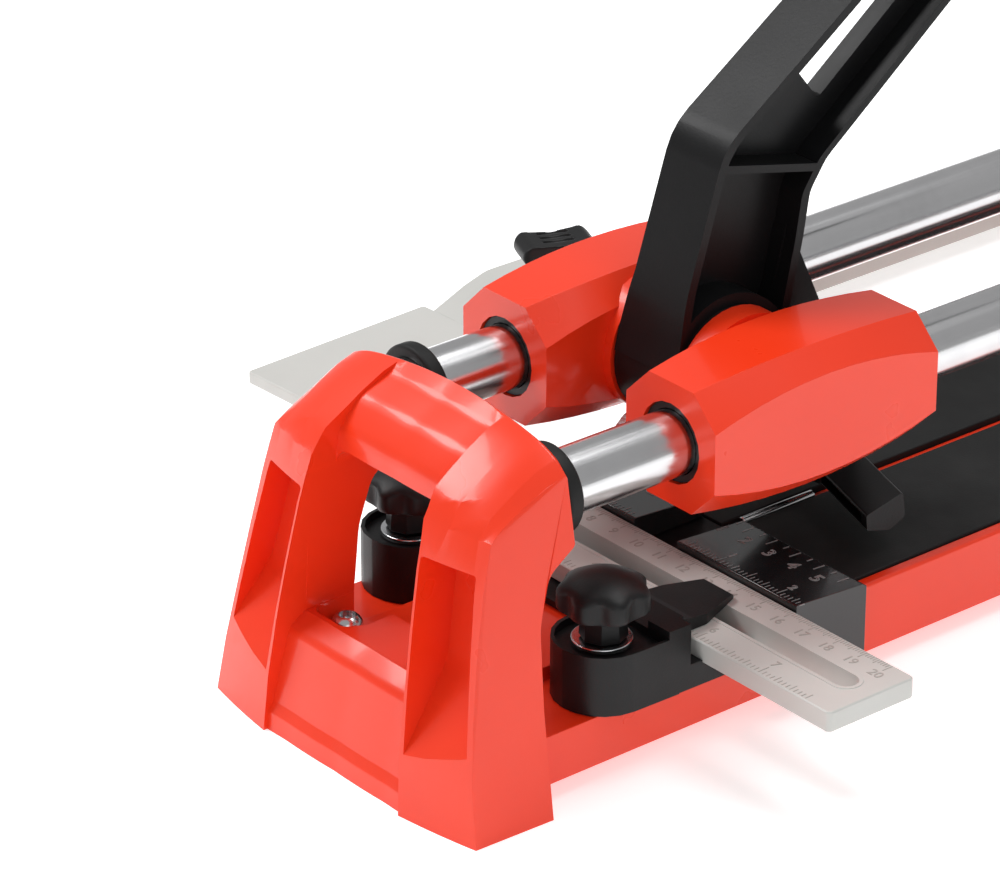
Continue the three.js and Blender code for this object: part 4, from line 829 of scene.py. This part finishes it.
wingSize = dict(grooves=3, groovePitch=3.4, grooveRadius=0.85, grooveLength=11.0, grooveSink=0.5,
                turn=-22, voxel=0.32, relax=4)
wing = placeMesh("wing_knob_grooved", mergedCopy("wing_knob", flatten=False))
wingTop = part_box("wing_knob")[1].z
wingCentre = Vector(next(j["pos_m"] for j in frame["joints"] if j["name"] == "wing_turn"))
halfGroove, grooveRadius = wingSize["grooveLength"] / 2, wingSize["grooveRadius"]
grooveProfile = [(0, -halfGroove), (grooveRadius, -halfGroove + 0.6), (grooveRadius, halfGroove - 0.6),
                 (0, halfGroove)]
grooveMesh = turned("groove", grooveProfile, 16, "Y")
cutter = runTree("groove_cutters", copiesTree, {
    "Across": wingSize["grooves"], "Along": 1, "Along Span": 0.0,
    "Across Span": wingSize["groovePitch"] * (wingSize["grooves"] - 1) * mm,
    "Material": materials["black_plastic"]}, grooveMesh)
grooveMiddle = Matrix.Translation((wingCentre.x, wingCentre.y, wingTop - wingSize["grooveSink"] * mm))
cutter.data.transform(grooveMiddle @ Matrix.Rotation(math.radians(wingSize["turn"]), 4, "Z"))
cut = wing.modifiers.new("grooves", "BOOLEAN")
cut.operation = "DIFFERENCE"
cut.object = cutter
cut.solver = "EXACT"
even = wing.modifiers.new("even", "REMESH")
even.mode = "VOXEL"
even.voxel_size = wingSize["voxel"] * mm
relaxing = wing.modifiers.new("relax", "SMOOTH")
relaxing.factor = 0.5
relaxing.iterations = wingSize["relax"]
evaluated(wing)
bpy.data.objects.remove(cutter)
smoothByAngle(wing.data, 60)
dress(wing, "wing", "black_plastic", ["wing_knob"])

gripSize = dict(radius=15.3, bore=7.9, length=118.0, ribs=14, ribDepth=0.7, ribSteps=8, waist=1.1, rise=34.5,
                ribStart=12.0, plainEnd=18.0, endGap=1.1)
gripCorners = [v.co for v in nodes["grip"].data.vertices]
rise = math.radians(gripSize["rise"])
along = Vector((0, math.cos(rise), math.sin(rise)))
base = min(c.dot(along) for c in gripCorners)
middle = sum(gripCorners, Vector()) / len(gripCorners)
origin = middle + along * (base - middle.dot(along))
r, bore = gripSize["radius"], gripSize["bore"]
profile = [(bore, 0), (r - 1.6, 0), (r - 0.4, 0.6), (r, 2.0)]
ribSpan = gripSize["length"] - gripSize["plainEnd"] - gripSize["ribStart"]
ribPoints = gripSize["ribs"] * gripSize["ribSteps"]
for k in range(ribPoints + 1):
    t = k / ribPoints
    waist = gripSize["waist"] * math.sin(math.pi * t)
    ripple = gripSize["ribDepth"] * (1 - abs(math.cos(math.pi * gripSize["ribs"] * t)) ** 0.6)
    profile.append((r - 0.1 - waist - gripSize["ribDepth"] + ripple, gripSize["ribStart"] + t * ribSpan))
end = gripSize["length"] - gripSize["endGap"]
profile += [(r, end - 13), (r, end - 7), (r - 1.0, end - 3.4), (r - 3.4, end - 1.0), (r - 7, end - 0.1),
            (0, end), (0, end - 8), (bore, end - 8), (bore, 0)]
gripMesh = turned("grip_ribbed", profile, 72)
gripMesh.transform(Matrix.Translation(origin) @ Matrix.Rotation(rise - math.pi / 2, 4, "X"))
dress(placeMesh("grip_ribbed", gripMesh), "lever_arm", "black_rubber", ["grip"])
print("wing knob and grip done")


# floor, light and camera

floorMesh = bpy.data.meshes.new("floor")
floorMesh.from_pydata([(-6, -6, 0), (6, -6, 0), (6, 6, 0), (-6, 6, 0)], [], [(0, 1, 2, 3)])
floor = placeMesh("floor", floorMesh)
floorMaterial = bpy.data.materials.new("pale_floor")
floorMaterial.use_nodes = True
floorShader = floorMaterial.node_tree.nodes["Principled BSDF"]
floorLook = {"Base Color": (0.93, 0.93, 0.93, 1), "Roughness": 0.9, "Emission Color": (1, 1, 1, 1),
             "Emission Strength": 0.5}
for socket, value in floorLook.items():
    floorShader.inputs[socket].default_value = value
floor.data.materials.append(floorMaterial)

world = bpy.data.worlds.new("studio")
scene.world = world
world.use_nodes = True
world.node_tree.nodes["Background"].inputs["Color"].default_value = (1, 1, 1, 1)
world.node_tree.nodes["Background"].inputs["Strength"].default_value = 0.40


def softbox(name, place, target, size, power):
    light = bpy.data.lights.new(name, "AREA")
    light.shape = "RECTANGLE"
    light.size, light.size_y = size
    light.energy = power
    lamp = bpy.data.objects.new(name, light)
    scene.collection.objects.link(lamp)
    lamp.location = place
    lamp.rotation_euler = (Vector(target) - Vector(place)).to_track_quat("-Z", "Y").to_euler()


aim = (0.04, -0.3, 0.06)
softbox("key", (-0.9, -0.9, 1.5), aim, (0.9, 0.7), 20)
softbox("fill", (1.5, -0.9, 0.8), aim, (1.2, 0.9), 4)
softbox("top", (0.1, 0.3, 1.7), aim, (1.2, 0.6), 12)

camera = bpy.data.objects.new("camera", bpy.data.cameras.new("camera"))
scene.collection.objects.link(camera)
camera.location = (middleX + 0.95353, -1.12961, 0.69730)
camera.rotation_euler = (math.radians(90 - 26.35), 0, math.radians(50.5))
camera.data.sensor_width = 36
camera.data.sensor_fit = "HORIZONTAL"
camera.data.lens = 179.17
camera.data.clip_end = 50
scene.camera = camera
scene.view_settings.view_transform = "Standard"
print("stage, light and camera done")
